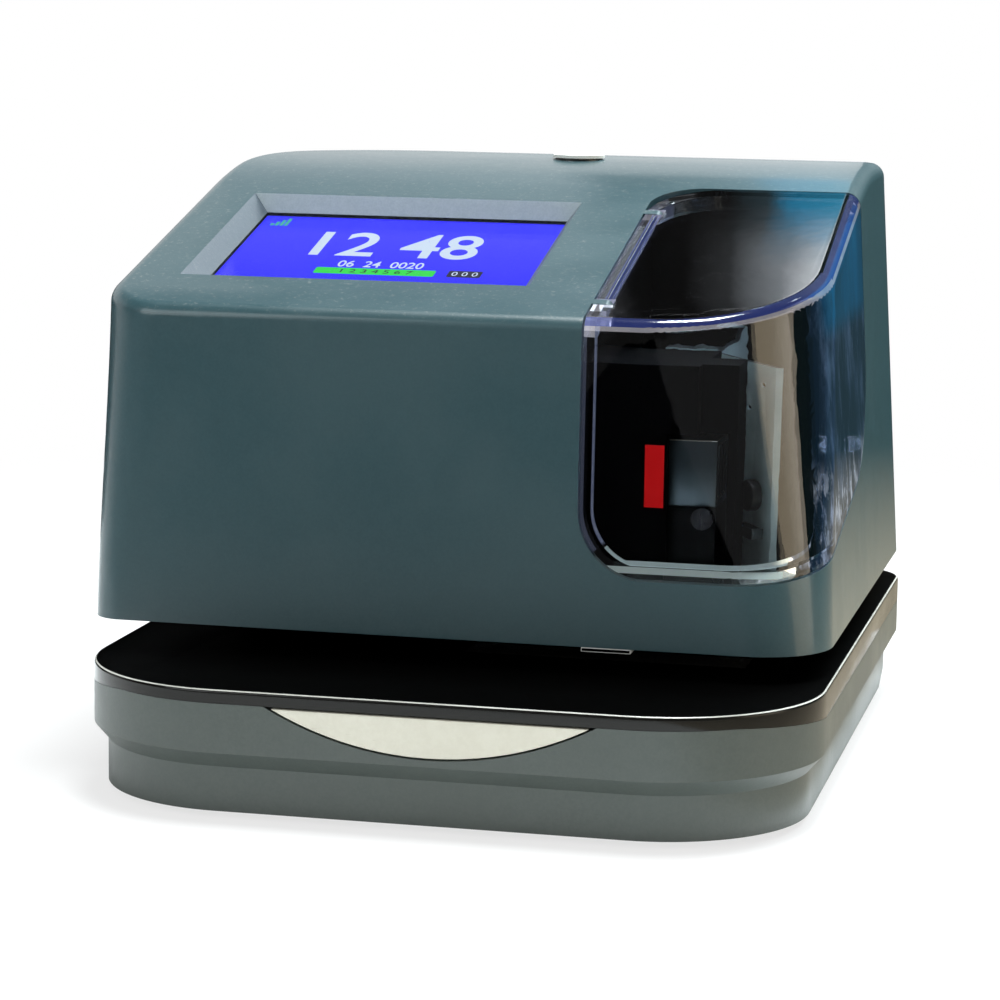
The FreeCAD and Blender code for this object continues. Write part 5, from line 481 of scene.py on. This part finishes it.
def screen_numbers(label, numbers, finish, left, right, low, high, depth, weight):
    """A row of plain numbers, drawn to fill its place on the screen."""
    bpy.ops.object.select_all(action="DESELECT")
    bpy.ops.object.text_add()
    row = bpy.context.view_layer.objects.active
    row.name = label
    row.data.body = numbers
    row.data.size = high - low
    row.data.offset = weight * (high - low)
    row.data.extrude = 0.00001
    bpy.ops.object.convert(target="MESH")
    bpy.ops.object.origin_set(type="ORIGIN_GEOMETRY", center="BOUNDS")
    row.scale = ((right - left) / row.dimensions.x, (high - low) / row.dimensions.y, 1.0)
    row.data.materials.clear()
    row.data.materials.append(finish)
    lay_on_screen(row, (left + right) / 2, (low + high) / 2, depth)


screen_blue = screen_light("screen_blue", (0.040, 0.038, 1.00), (0.030, 0.028, 0.92), 1.15)
screen_white = screen_light("screen_white", (0.72, 0.86, 1.00), (0.62, 0.76, 0.95))
screen_green = screen_light("screen_green", (0.045, 0.860, 0.090), (0.035, 0.700, 0.085))
screen_teal = screen_light("screen_teal", (0.070, 0.520, 0.420), (0.060, 0.440, 0.400))
screen_dark = screen_light("screen_dark", (0.035, 0.036, 0.060), (0.025, 0.026, 0.045))
# how deep the blue, the marks on it and the numbers on those lie under the panel
blue_deep, marks_deep, fine_deep = 0.00515, 0.00508, 0.00503
screen_patch("screen_picture", screen_blue, -0.0625, 0.0081, 0.0214, 0.0741, blue_deep, 0.0003)
screen_numbers("screen_hour", "12 48", screen_white, -0.0455, -0.0078, 0.0478, 0.0640, marks_deep, 0.012)
screen_numbers("screen_day", "06  24  0020", screen_white, -0.0370, -0.0176, 0.0408, 0.0448, marks_deep, 0.01)
screen_patch("screen_bar", screen_green, -0.0411, -0.0140, 0.0362, 0.0400, marks_deep, 0.0005)
screen_numbers("screen_bar_numbers", "1 2 3 4 5 6 7", screen_dark, -0.0352, -0.0190, 0.0370, 0.0391,
               fine_deep, 0.0)
screen_patch("screen_tag", screen_dark, -0.0111, -0.0036, 0.0364, 0.0404, marks_deep, 0.0005)
screen_numbers("screen_tag_numbers", "0 0 0", screen_white, -0.0102, -0.0044, 0.0371, 0.0396, fine_deep, 0.0)
signal_low, signal_pitch = 0.0672, 0.0011
for step, height in enumerate((0.0014, 0.0026, 0.0038, 0.0050)):
    screen_patch(f"screen_signal_bar_{step}", screen_teal, -0.0600 + signal_pitch * step,
                 -0.0592 + signal_pitch * step, signal_low, signal_low + height, marks_deep, 0.0001)


# ---------------------------------------------------------------- lock
# A round cam lock in the top fastens the hood: a cream rotor with a key slot turns in
# a dark barrel and swings a steel cam under the top.
lock_dark = turned_metal("lock_dark", (0.12, 0.12, 0.12), (0.07, 0.07, 0.07), 0.35)
finished("lock_barrel", "lock_housing", lock_dark)
finished("lock_clip", "lock_spring_clip", bright_steel)
lock_white = moulded_plastic("lock_white", (0.86, 0.87, 0.83), (0.78, 0.79, 0.74), 0.30, pits=900.0,
                             depth=0.00001, dust=0.1)
finished("lock_rotor", "lock_core_disc", lock_white)
finished("lock_cam", "lock_tongue", bright_steel)


# ---------------------------------------------------------------- ribbon bay
# Behind the clear cover: a black liner, zinc side frames, guide shafts, the carriage
# with the print head, the belt drive, the ribbon cassette and the card trigger.
liner_black = moulded_plastic("liner_black", (0.0012, 0.0012, 0.0015), (0.003, 0.003, 0.0035), 0.65,
                              pits=800.0, dust=0.01, Specular_IOR_Level=0.04)
cast_metal = turned_metal("cast_aluminium", (0.085, 0.110, 0.125), (0.060, 0.080, 0.095), 0.38,
                          turns=1800.0)
belt_rubber = moulded_plastic("belt_rubber", (0.012, 0.012, 0.012), (0.022, 0.022, 0.022), 0.60)
gear_plastic = moulded_plastic("gear_plastic", (0.62, 0.60, 0.55), (0.55, 0.53, 0.47), 0.35, pits=900.0)
head_plastic = moulded_plastic("head_plastic", (0.0025, 0.0030, 0.0034), (0.006, 0.008, 0.009), 0.42,
                               pits=1000.0, dust=0.02, Specular_IOR_Level=0.15)
# the right frame is zinc-coated steel like the left one, painted pale grey-green here as a painted sheen for
# the light it catches
frame_pale_painted_sheen = moulded_plastic("frame_pale_painted_sheen", (0.50, 0.66, 0.66), (0.70, 0.84, 0.84), 0.42, pits=420.0,
                             depth=0.00002, clouds=60.0, dust=0.05)
# the ribbon tab's red, with a weak painted glow in its emission
red_mark = moulded_plastic("red_mark", (0.90, 0.008, 0.010), (0.95, 0.015, 0.014), 0.50, pits=900.0,
                           depth=0.00001, dust=0.02, Specular_IOR_Level=0.1,
                           Emission_Color=(1.0, 0.006, 0.010, 1.0), Emission_Strength=0.12)
ink_fabric = moulded_plastic("ink_fabric", (0.010, 0.010, 0.018), (0.020, 0.020, 0.030), 0.80, pits=3000.0)
head_steel = turned_metal("head_steel", (0.10, 0.10, 0.11), (0.05, 0.05, 0.05), 0.22)
for node, label, finish, slot in (
        ("inner_liner", "bay_liner", liner_black, "black_plastic"),
        ("mechanism_plate", "works_plate", zinc_plate, "galvanised_steel"),
        ("mechanism_screws", "works_plate_screws", screw_steel, "screw_steel"),
        ("left_frame", "left_side_frame", zinc_plate, "galvanised_steel"),
        ("right_frame", "right_side_frame", frame_pale_painted_sheen, "galvanised_steel"),
        ("front_guide_shaft", "front_guide_rod", bright_steel, "bright_steel"),
        ("rear_guide_shaft", "rear_guide_rod", bright_steel, "bright_steel"),
        ("carriage_motor", "carriage_drive_motor", bright_steel, "bright_steel"),
        ("idler_bracket", "idler_carrier", zinc_plate, "galvanised_steel"),
        ("drive_belt", "carriage_belt", belt_rubber, "belt_rubber"),
        ("ribbon_cassette", "ribbon_box", liner_black, "black_plastic"),
        ("cassette_lid", "ribbon_box_lid", liner_black, "black_plastic"),
        ("ink_ribbon", "ink_ribbon_band", ink_fabric, "ink_fabric"),
        ("ribbon_tab", "ribbon_red_tab", red_mark, "red_mark"),
        ("ribbon_motor", "ribbon_drive_motor", bright_steel, "bright_steel"),
        ("trigger_pin", "trigger_pivot", bright_steel, "bright_steel"),
        ("trigger_bracket", "trigger_carrier", zinc_plate, "galvanised_steel"),
        ("cover_hinge_pin", "cover_pin", bright_steel, "bright_steel"),
        ("carriage", "head_carriage", liner_black, "black_plastic"),
        ("print_head", "print_head_block", head_plastic, "head_plastic"),
        ("head_heatsink", "print_head_fins", cast_metal, "cast_aluminium"),
        ("head_screws", "print_head_screws", head_steel, "screw_steel"),
        ("motor_pulley", "motor_pulley_wheel", gear_plastic, "gear_plastic"),
        ("idler_pulley", "idler_pulley_wheel", gear_plastic, "gear_plastic"),
        ("ribbon_wheel", "ribbon_gear_wheel", gear_plastic, "gear_plastic"),
        ("ribbon_knob", "ribbon_turn_knob", gear_plastic, "gear_plastic"),
        ("ribbon_pinion", "ribbon_gear_pinion", gear_plastic, "gear_plastic"),
        ("paper_trigger", "card_trigger", liner_black, "black_plastic")):
    piece = finished(node, label, finish, edge=0.0003 if node == "head_heatsink" else 0.0)
    if node == "right_frame":
        faces_in(piece, cast_metal, lambda middle, normal: abs(normal.z) > 0.7 and middle.y > -0.0125)
    # the fins' upper and front left edges get the painted highlight
    if node == "head_heatsink":
        faces_in(piece, painted_edge_highlight, lambda middle, normal: (
            0.3 < normal.z < 0.9 or (normal.y < -0.3 and normal.x < -0.3)))


# the right frame's wing starts at this x and y and runs forward to the right
wing_x, wing_y = 0.0476, -0.01025
wing_right, wing_forward = 0.546, 0.838
wing_turn = math.radians(-56.9)


def on_wing(along, out, z):
    """A place on the right frame's slanting wing, by the way along it and out from it."""
    return (wing_x + wing_right * along - wing_forward * out,
            wing_y - wing_forward * along - wing_right * out, z)


# a dark guide stud stands on the wing, over a small folded tray
stud_black = moulded_plastic("stud_black", (0.006, 0.007, 0.008), (0.012, 0.013, 0.014), 0.35, pits=900.0,
                             dust=0.05)
bpy.ops.object.select_all(action="DESELECT")
bpy.ops.mesh.primitive_cylinder_add(vertices=48, radius=0.0033, depth=0.0024,
                                    location=on_wing(0.0238, 0.0017, 0.0628),
                                    rotation=(math.radians(90.0), 0.0, wing_turn))
stud = bpy.context.view_layer.objects.active
stud.name = "wing_guide_stud"
bpy.ops.object.transform_apply(location=True, rotation=True, scale=True)
bpy.ops.object.mode_set(mode="EDIT")
bpy.ops.mesh.select_all(action="SELECT")
bpy.ops.mesh.bevel(offset=0.0004, segments=3, affect="EDGES")
bpy.ops.object.mode_set(mode="OBJECT")
bpy.ops.object.shade_smooth_by_angle(angle=math.radians(35.0))
stud.data.materials.append(stud_black)
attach(stud, "machine")

bpy.ops.object.select_all(action="DESELECT")
bpy.ops.mesh.primitive_cube_add(size=1.0, location=on_wing(0.0235, 0.0019, 0.0552),
                                rotation=(0.0, 0.0, wing_turn))
tray = bpy.context.view_layer.objects.active
tray.name = "wing_tray"
tray.scale = (0.0090, 0.0026, 0.0022)
bpy.ops.object.transform_apply(location=True, rotation=True, scale=True)
bpy.ops.object.mode_set(mode="EDIT")
bpy.ops.mesh.select_mode(type="FACE")
bpy.ops.mesh.select_all(action="DESELECT")
bpy.ops.object.mode_set(mode="OBJECT")
for face in tray.data.polygons:
    face.select = face.normal.z > 0.9
bpy.ops.object.mode_set(mode="EDIT")
tray_wall, tray_deep = 0.0004, 0.0016
bpy.ops.mesh.inset(thickness=tray_wall)
bpy.ops.mesh.extrude_region_move(TRANSFORM_OT_translate={"value": (0.0, 0.0, -tray_deep)})
bpy.ops.object.mode_set(mode="OBJECT")
tray.data.materials.append(cast_metal)
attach(tray, "machine")


# ---------------------------------------------------------------- clear cover
# The cover over the ribbon bay is one clear acrylic moulding, faintly blue, that
# wraps the hood's front, side and top and swings up on a steel pin at its left edge.
def acrylic(name, tint, dusted, gloss, **constants):
    """Clear acrylic with a faint tint, rubbed unevenly, with a little dust on top."""
    finish, tree, shader = new_finish(name, Transmission_Weight=1.0, IOR=1.49, **constants)
    hands = add_group(tree, handling, Clouds_per_metre=26.0)
    wire(tree, blend_colours(tree, hands.outputs["Dust"], tint, dusted), shader.inputs["Base Color"])
    wire(tree, band(tree, hands.outputs["Rub"], 0.0, 1.0, gloss, gloss + 0.02), shader.inputs["Roughness"])
    flow = tree.nodes.new("ShaderNodeMapping")
    flow.inputs["Scale"].default_value = (1.0, 1.0, 0.12)
    wire(tree, object_place(tree), flow.inputs["Vector"])
    raise_skin(tree, shader, noise(tree, flow.outputs[0], 90.0, 3.0, 0.5), 0.00004)
    return finish, tree, shader


# the mesh is cut along these planes, so that the side wall and the foot can have their own looks
side_wall_x = 0.069
ledge_low, ledge_high = 0.0488, 0.0502
clear_acrylic = acrylic("clear_acrylic", (0.90, 0.93, 0.97), (0.80, 0.83, 0.86), 0.006)[0]
cover = finished("ribbon_cover", "ribbon_bay_cover", clear_acrylic)
bpy.ops.object.mode_set(mode="EDIT")
for place, across in (((side_wall_x, 0.0, 0.0), (1.0, 0.0, 0.0)), ((0.0, 0.0, ledge_low), (0.0, 0.0, 1.0)),
                      ((0.0, 0.0, ledge_high), (0.0, 0.0, 1.0))):
    bpy.ops.mesh.select_all(action="SELECT")
    bpy.ops.mesh.bisect(plane_co=place, plane_no=across)
bpy.ops.object.mode_set(mode="OBJECT")

# the side wall's tint is streaked; its deep blue, greener towards its upper back, and its pale streaks low
# down are a painted glow in its emission, for light gathered and mirrored in the acrylic
side_acrylic_painted_glow, tree, shader = acrylic("side_acrylic_painted_glow", (0.30, 0.36, 0.48), (0.40, 0.44, 0.52), 0.012,
                                     Emission_Strength=1.0)
spot = tree.nodes.new("ShaderNodeSeparateXYZ")
wire(tree, object_place(tree), spot.inputs[0])
streaks = tree.nodes.new("ShaderNodeMapping")
streaks.inputs["Rotation"].default_value = (0.45, 0.0, 0.0)
streaks.inputs["Scale"].default_value = (1.0, 1.0, 0.42)
wire(tree, object_place(tree), streaks.inputs["Vector"])
smear_tint_and_glow = band(tree, noise(tree, streaks.outputs[0], 95.0, 6.0, 0.72), 0.46, 0.66)
wire(tree, blend_colours(tree, smear_tint_and_glow, (0.22, 0.28, 0.40), (0.50, 0.56, 0.66)), shader.inputs["Base Color"])
upper = sums(tree, "MULTIPLY", band(tree, spot.outputs["Z"], 0.094, 0.100),
             band(tree, spot.outputs["Y"], -0.030, -0.022))
deep = blend_colours(tree, smear_tint_and_glow, (0.002, 0.005, 0.010), (0.020, 0.034, 0.060))
painted_pale_streaks = sums(tree, "MULTIPLY", band(tree, noise(tree, streaks.outputs[0], 210.0, 5.0, 0.7), 0.52, 0.62),
             band(tree, spot.outputs["Z"], 0.058, 0.072, 1.0, 0.0))
pale = blend_colours(tree, painted_pale_streaks, deep, (0.26, 0.29, 0.34))
wire(tree, blend_colours(tree, upper, pale, (0.002, 0.024, 0.048)), shader.inputs["Emission Color"])


def acrylic_painted_glow(name, tint, dusted, gloss, strength, grain, dark, light, detail=2.0):
    """Acrylic with a painted glow in its emission, mottled between two colours."""
    finish, tree, shader = acrylic(name, tint, dusted, gloss, Emission_Strength=strength)
    mottle = noise(tree, object_place(tree), grain, detail, 0.5)
    wire(tree, blend_colours(tree, mottle, dark, light), shader.inputs["Emission Color"])
    return finish


# a painted violet glow in the bend under the top's rim, a painted silver highlight below it, and a pale
# painted glow in the cut edges
bend_painted_violet_glow = acrylic_painted_glow("bend_painted_violet_glow", (0.30, 0.36, 0.80), (0.50, 0.54, 0.90), 0.10, 0.30, 240.0,
                           (0.03, 0.06, 0.36), (0.08, 0.12, 0.48))
silver_painted_highlight = acrylic_painted_glow("silver_painted_highlight", (0.88, 0.89, 0.94), (0.80, 0.80, 0.88), 0.08, 0.30, 180.0,
                             (0.30, 0.30, 0.42), (1.00, 0.98, 1.00))
cut_edge_painted_glow = acrylic_painted_glow("cut_edge_painted_glow", (0.55, 0.62, 0.80), (0.70, 0.76, 0.90), 0.16, 0.08, 900.0,
                           (0.20, 0.26, 0.50), (0.60, 0.66, 0.90))
# the foot of the cover is a frosted ledge with a pale tint and a pale painted glow in its emission
ledge_painted_glow = acrylic_painted_glow("ledge_painted_glow", (0.55, 0.66, 0.66), (0.62, 0.72, 0.72), 0.40, 0.30, 300.0,
                            (0.40, 0.52, 0.52), (0.62, 0.76, 0.76), detail=3.0)
foot_top, bend_foot = 0.054, 0.092
side_inner, hinge_side = 0.066, 0.034
faces_in(cover, ledge_painted_glow, lambda middle, normal: middle.x < side_wall_x and (
    (normal.z > 0.6 and middle.z < foot_top) or (normal.y < -0.5 and ledge_low < middle.z < ledge_high)))
faces_in(cover, side_acrylic_painted_glow, lambda middle, normal: abs(normal.x) > 0.90 and middle.x > side_inner)
faces_in(cover, bend_painted_violet_glow, lambda middle, normal: 0.50 < abs(normal.z) < 0.93 and middle.z > bend_foot)
faces_in(cover, silver_painted_highlight, lambda middle, normal: 0.20 < abs(normal.z) <= 0.50 and middle.z > bend_foot)
faces_in(cover, cut_edge_painted_glow, lambda middle, normal: abs(normal.x) > 0.8 and middle.x < hinge_side)


# ---------------------------------------------------------------- studio
# Plain pale floor and white surroundings, bright low behind and dim above, a soft lamp
# over the object and weaker ones behind and at the sides, and cards for the reflections.
bpy.ops.object.select_all(action="DESELECT")
bpy.ops.mesh.primitive_plane_add(size=8.0, location=(0, 0, 0))
floor = bpy.context.view_layer.objects.active
floor.name = "studio_floor"
sweep, tree, shader = new_finish("studio_sweep", Roughness=0.9)
shader.inputs["Base Color"].default_value = (0.80, 0.80, 0.80, 1.0)
glow = tree.nodes.new("ShaderNodeEmission")
glow.inputs["Color"].default_value = (1.0, 1.0, 1.0, 1.0)
rays = tree.nodes.new("ShaderNodeLightPath")
away = tree.nodes.new("ShaderNodeVectorMath")
away.operation = "LENGTH"
wire(tree, object_place(tree), away.inputs[0])
whiter = band(tree, away.outputs["Value"], 0.12, 0.45, 0.72, 1.0)
seen = sums(tree, "MULTIPLY", rays.outputs["Is Camera Ray"], whiter)
mixing = tree.nodes.new("ShaderNodeMixShader")
wire(tree, seen, mixing.inputs[0])
wire(tree, shader.outputs[0], mixing.inputs[1])
wire(tree, glow.outputs[0], mixing.inputs[2])
wire(tree, mixing.outputs[0], tree.nodes["Material Output"].inputs["Surface"])
floor.data.materials.append(sweep)

world = bpy.data.worlds.new("studio_world")
bpy.context.scene.world = world
world.use_nodes = True
tree = world.node_tree
sky = tree.nodes["Background"]
sky.inputs["Color"].default_value = (1.0, 1.0, 1.0, 1.0)
rays = tree.nodes.new("ShaderNodeLightPath")
aim = tree.nodes.new("ShaderNodeSeparateXYZ")
wire(tree, tree.nodes.new("ShaderNodeTexCoord").outputs["Generated"], aim.inputs[0])
# mirrors show the surroundings bright low behind, and clear pieces show them only straight behind
low_down = band(tree, aim.outputs["Z"], 0.42, 0.66, 1.0, 0.0)
behind = band(tree, aim.outputs["Y"], -0.3, 0.3)
mirrored = band(tree, sums(tree, "MULTIPLY", low_down, behind), 0.0, 1.0, 0.10, 0.80)
glossy = sums(tree, "MULTIPLY", rays.outputs["Is Glossy Ray"], mirrored)
through = sums(tree, "MULTIPLY", rays.outputs["Is Transmission Ray"],
               band(tree, aim.outputs["Y"], 0.2, 0.5, 0.06, 1.0))
soft = sums(tree, "MULTIPLY", rays.outputs["Is Diffuse Ray"], 0.40)
direct = sums(tree, "MAXIMUM", rays.outputs["Is Camera Ray"], through)
wire(tree, sums(tree, "MAXIMUM", direct, sums(tree, "MAXIMUM", glossy, soft)), sky.inputs["Strength"])

for name, place, turn, size, power, tint in (
        ("top_lamp", (0.08, 0.10, 1.10), (-5.0, 4.0, 0.0), 0.32, 18.0, (0.93, 0.99, 1.0)),
        ("back_lamp", (0.38, 0.72, 0.75), (-45.0, 0.0, -20.0), 0.60, 16.0, (0.85, 0.96, 1.0)),
        ("front_lamp", (-0.80, -1.10, 0.75), (60.0, 0.0, -35.0), 0.80, 5.5, (0.95, 1.0, 1.0)),
        ("right_lamp", (1.1, -0.1, 0.25), (80.0, 0.0, 85.0), 0.7, 2.8, (1.0, 0.82, 0.56))):
    bpy.ops.object.light_add(type="AREA", location=place, rotation=[math.radians(angle) for angle in turn])
    lamp = bpy.context.view_layer.objects.active
    lamp.name = name
    lamp.data.size = size
    lamp.data.energy = power
    lamp.data.color = tint
    lamp.visible_camera = False


def shade_along(tree, place, low, high, stops):
    """Colours along one axis, by stops of a place from 0 to 1 and a colour."""
    grade = tree.nodes.new("ShaderNodeValToRGB")
    wire(tree, sums(tree, "DIVIDE", sums(tree, "SUBTRACT", place, low), high - low), grade.inputs[0])
    for at, colour in stops:
        stop = grade.color_ramp.elements.new(at)
        stop.color = (*colour, 1.0)
    grade.color_ramp.elements.remove(grade.color_ramp.elements[0])
    grade.color_ramp.elements.remove(grade.color_ramp.elements[-1])
    return grade.outputs[0]


def card_light(name, axis, low, high, *stops, strength=1.0):
    """A card's plain light, graded along one axis; gives back the nodes that a second grade needs."""
    finish, tree, shader = new_finish(name, Roughness=0.9, Specular_IOR_Level=0.0, Emission_Strength=strength)
    shader.inputs["Base Color"].default_value = (0.0, 0.0, 0.0, 1.0)
    spot = tree.nodes.new("ShaderNodeSeparateXYZ")
    wire(tree, object_place(tree), spot.inputs[0])
    light = shade_along(tree, spot.outputs[axis], low, high, stops)
    wire(tree, light, shader.inputs["Emission Color"])
    return finish, tree, spot, light, shader


def glare_card(name, finish, place, turn, size):
    """A card that only reflections see."""
    bpy.ops.object.select_all(action="DESELECT")
    bpy.ops.mesh.primitive_plane_add(size=1.0, location=place,
                                     rotation=[math.radians(angle) for angle in turn])
    card = bpy.context.view_layer.objects.active
    card.name = name
    card.scale = (*size, 1.0)
    bpy.ops.object.transform_apply(location=True, rotation=True, scale=True)
    card.data.materials.append(finish)
    card.visible_camera = False
    card.visible_diffuse = False
    card.visible_shadow = False


black = (0.001, 0.001, 0.001)
card_black = card_light("card_black", "X", -1.0, 1.0, (0.001, black), (0.999, black))[0]
sky_left, sky_right = -0.16, 0.08
card_sky, tree, spot, above, shader = card_light(
    "card_sky", "X", sky_left, sky_right, (0.001, (0.02, 0.02, 0.022)), (0.48, (0.025, 0.025, 0.027)),
    (0.54, (0.002, 0.002, 0.002)), (0.6225, (0.003, 0.003, 0.003)), (0.690, (0.026, 0.028, 0.030)),
    (0.770, (0.20, 0.22, 0.24)), (0.830, (0.62, 0.66, 0.70)), (0.999, (0.85, 0.90, 0.94)), strength=5.0)
below = shade_along(tree, spot.outputs["X"], sky_left, sky_right, (
    (0.001, (0.11, 0.115, 0.12)), (0.47, (0.14, 0.145, 0.15)), (0.54, (0.002, 0.002, 0.002)),
    (0.68, (0.004, 0.004, 0.004)), (0.73, (0.012, 0.020, 0.024)), (0.760, (0.010, 0.09, 0.16)),
    (0.84, (0.016, 0.13, 0.21)), (0.88, (0.16, 0.24, 0.28)), (0.999, (0.40, 0.44, 0.46))))
rise = band(tree, spot.outputs["Z"], 0.262, 0.304)
wire(tree, blend_colours(tree, rise, below, above), shader.inputs["Emission Color"])
card_side = card_light("card_side", "Z", 0.0, 0.052, (0.001, (0.74, 0.67, 0.50)), (0.25, (0.62, 0.56, 0.42)),
                       (0.999, (0.026, 0.052, 0.056)))[0]
card_ground = card_light("card_ground", "X", 0.08, 0.60, (0.001, (0.78, 0.70, 0.54)),
                         (0.6, (0.30, 0.27, 0.20)), (0.999, (0.20, 0.18, 0.14)))[0]
# the floor ahead and the wall to the left are dark in the front's gloss
glare_card("front_card", card_black, (0.0, -2.10, 0.004), (0.0, 0.0, 0.0), (3.0, 3.7))
glare_card("left_card", card_black, (-0.29, 0.14, 0.07), (90.0, 0.0, 0.0), (0.42, 0.11))
# what the sloping panel and the cover's roof show: dark to the left, bright to the right
glare_card("sky_card", card_sky, (0.02, 0.25, 0.2875), (90.0, 0.0, 0.0), (0.36, 0.155))
# the wall to the right is dark above and warm near the floor, as the side's gloss shows it
glare_card("side_card", card_side, (0.471, 0.14, 0.20), (90.0, 0.0, 0.0), (0.82, 0.40))
glare_card("side_ground_card", card_ground, (0.691, -0.05, 0.003), (0.0, 0.0, 0.0), (1.218, 0.37))

bpy.ops.object.camera_add(location=(0.158794, -0.708391, 0.168273),
                          rotation=[math.radians(angle) for angle in (81.0631834, -0.8166747, 12.9059814)])
camera = bpy.context.view_layer.objects.active
camera.data.sensor_width = 36.0
camera.data.lens = 118.37
bpy.context.scene.camera = camera
bpy.context.scene.view_settings.view_transform = "Standard"
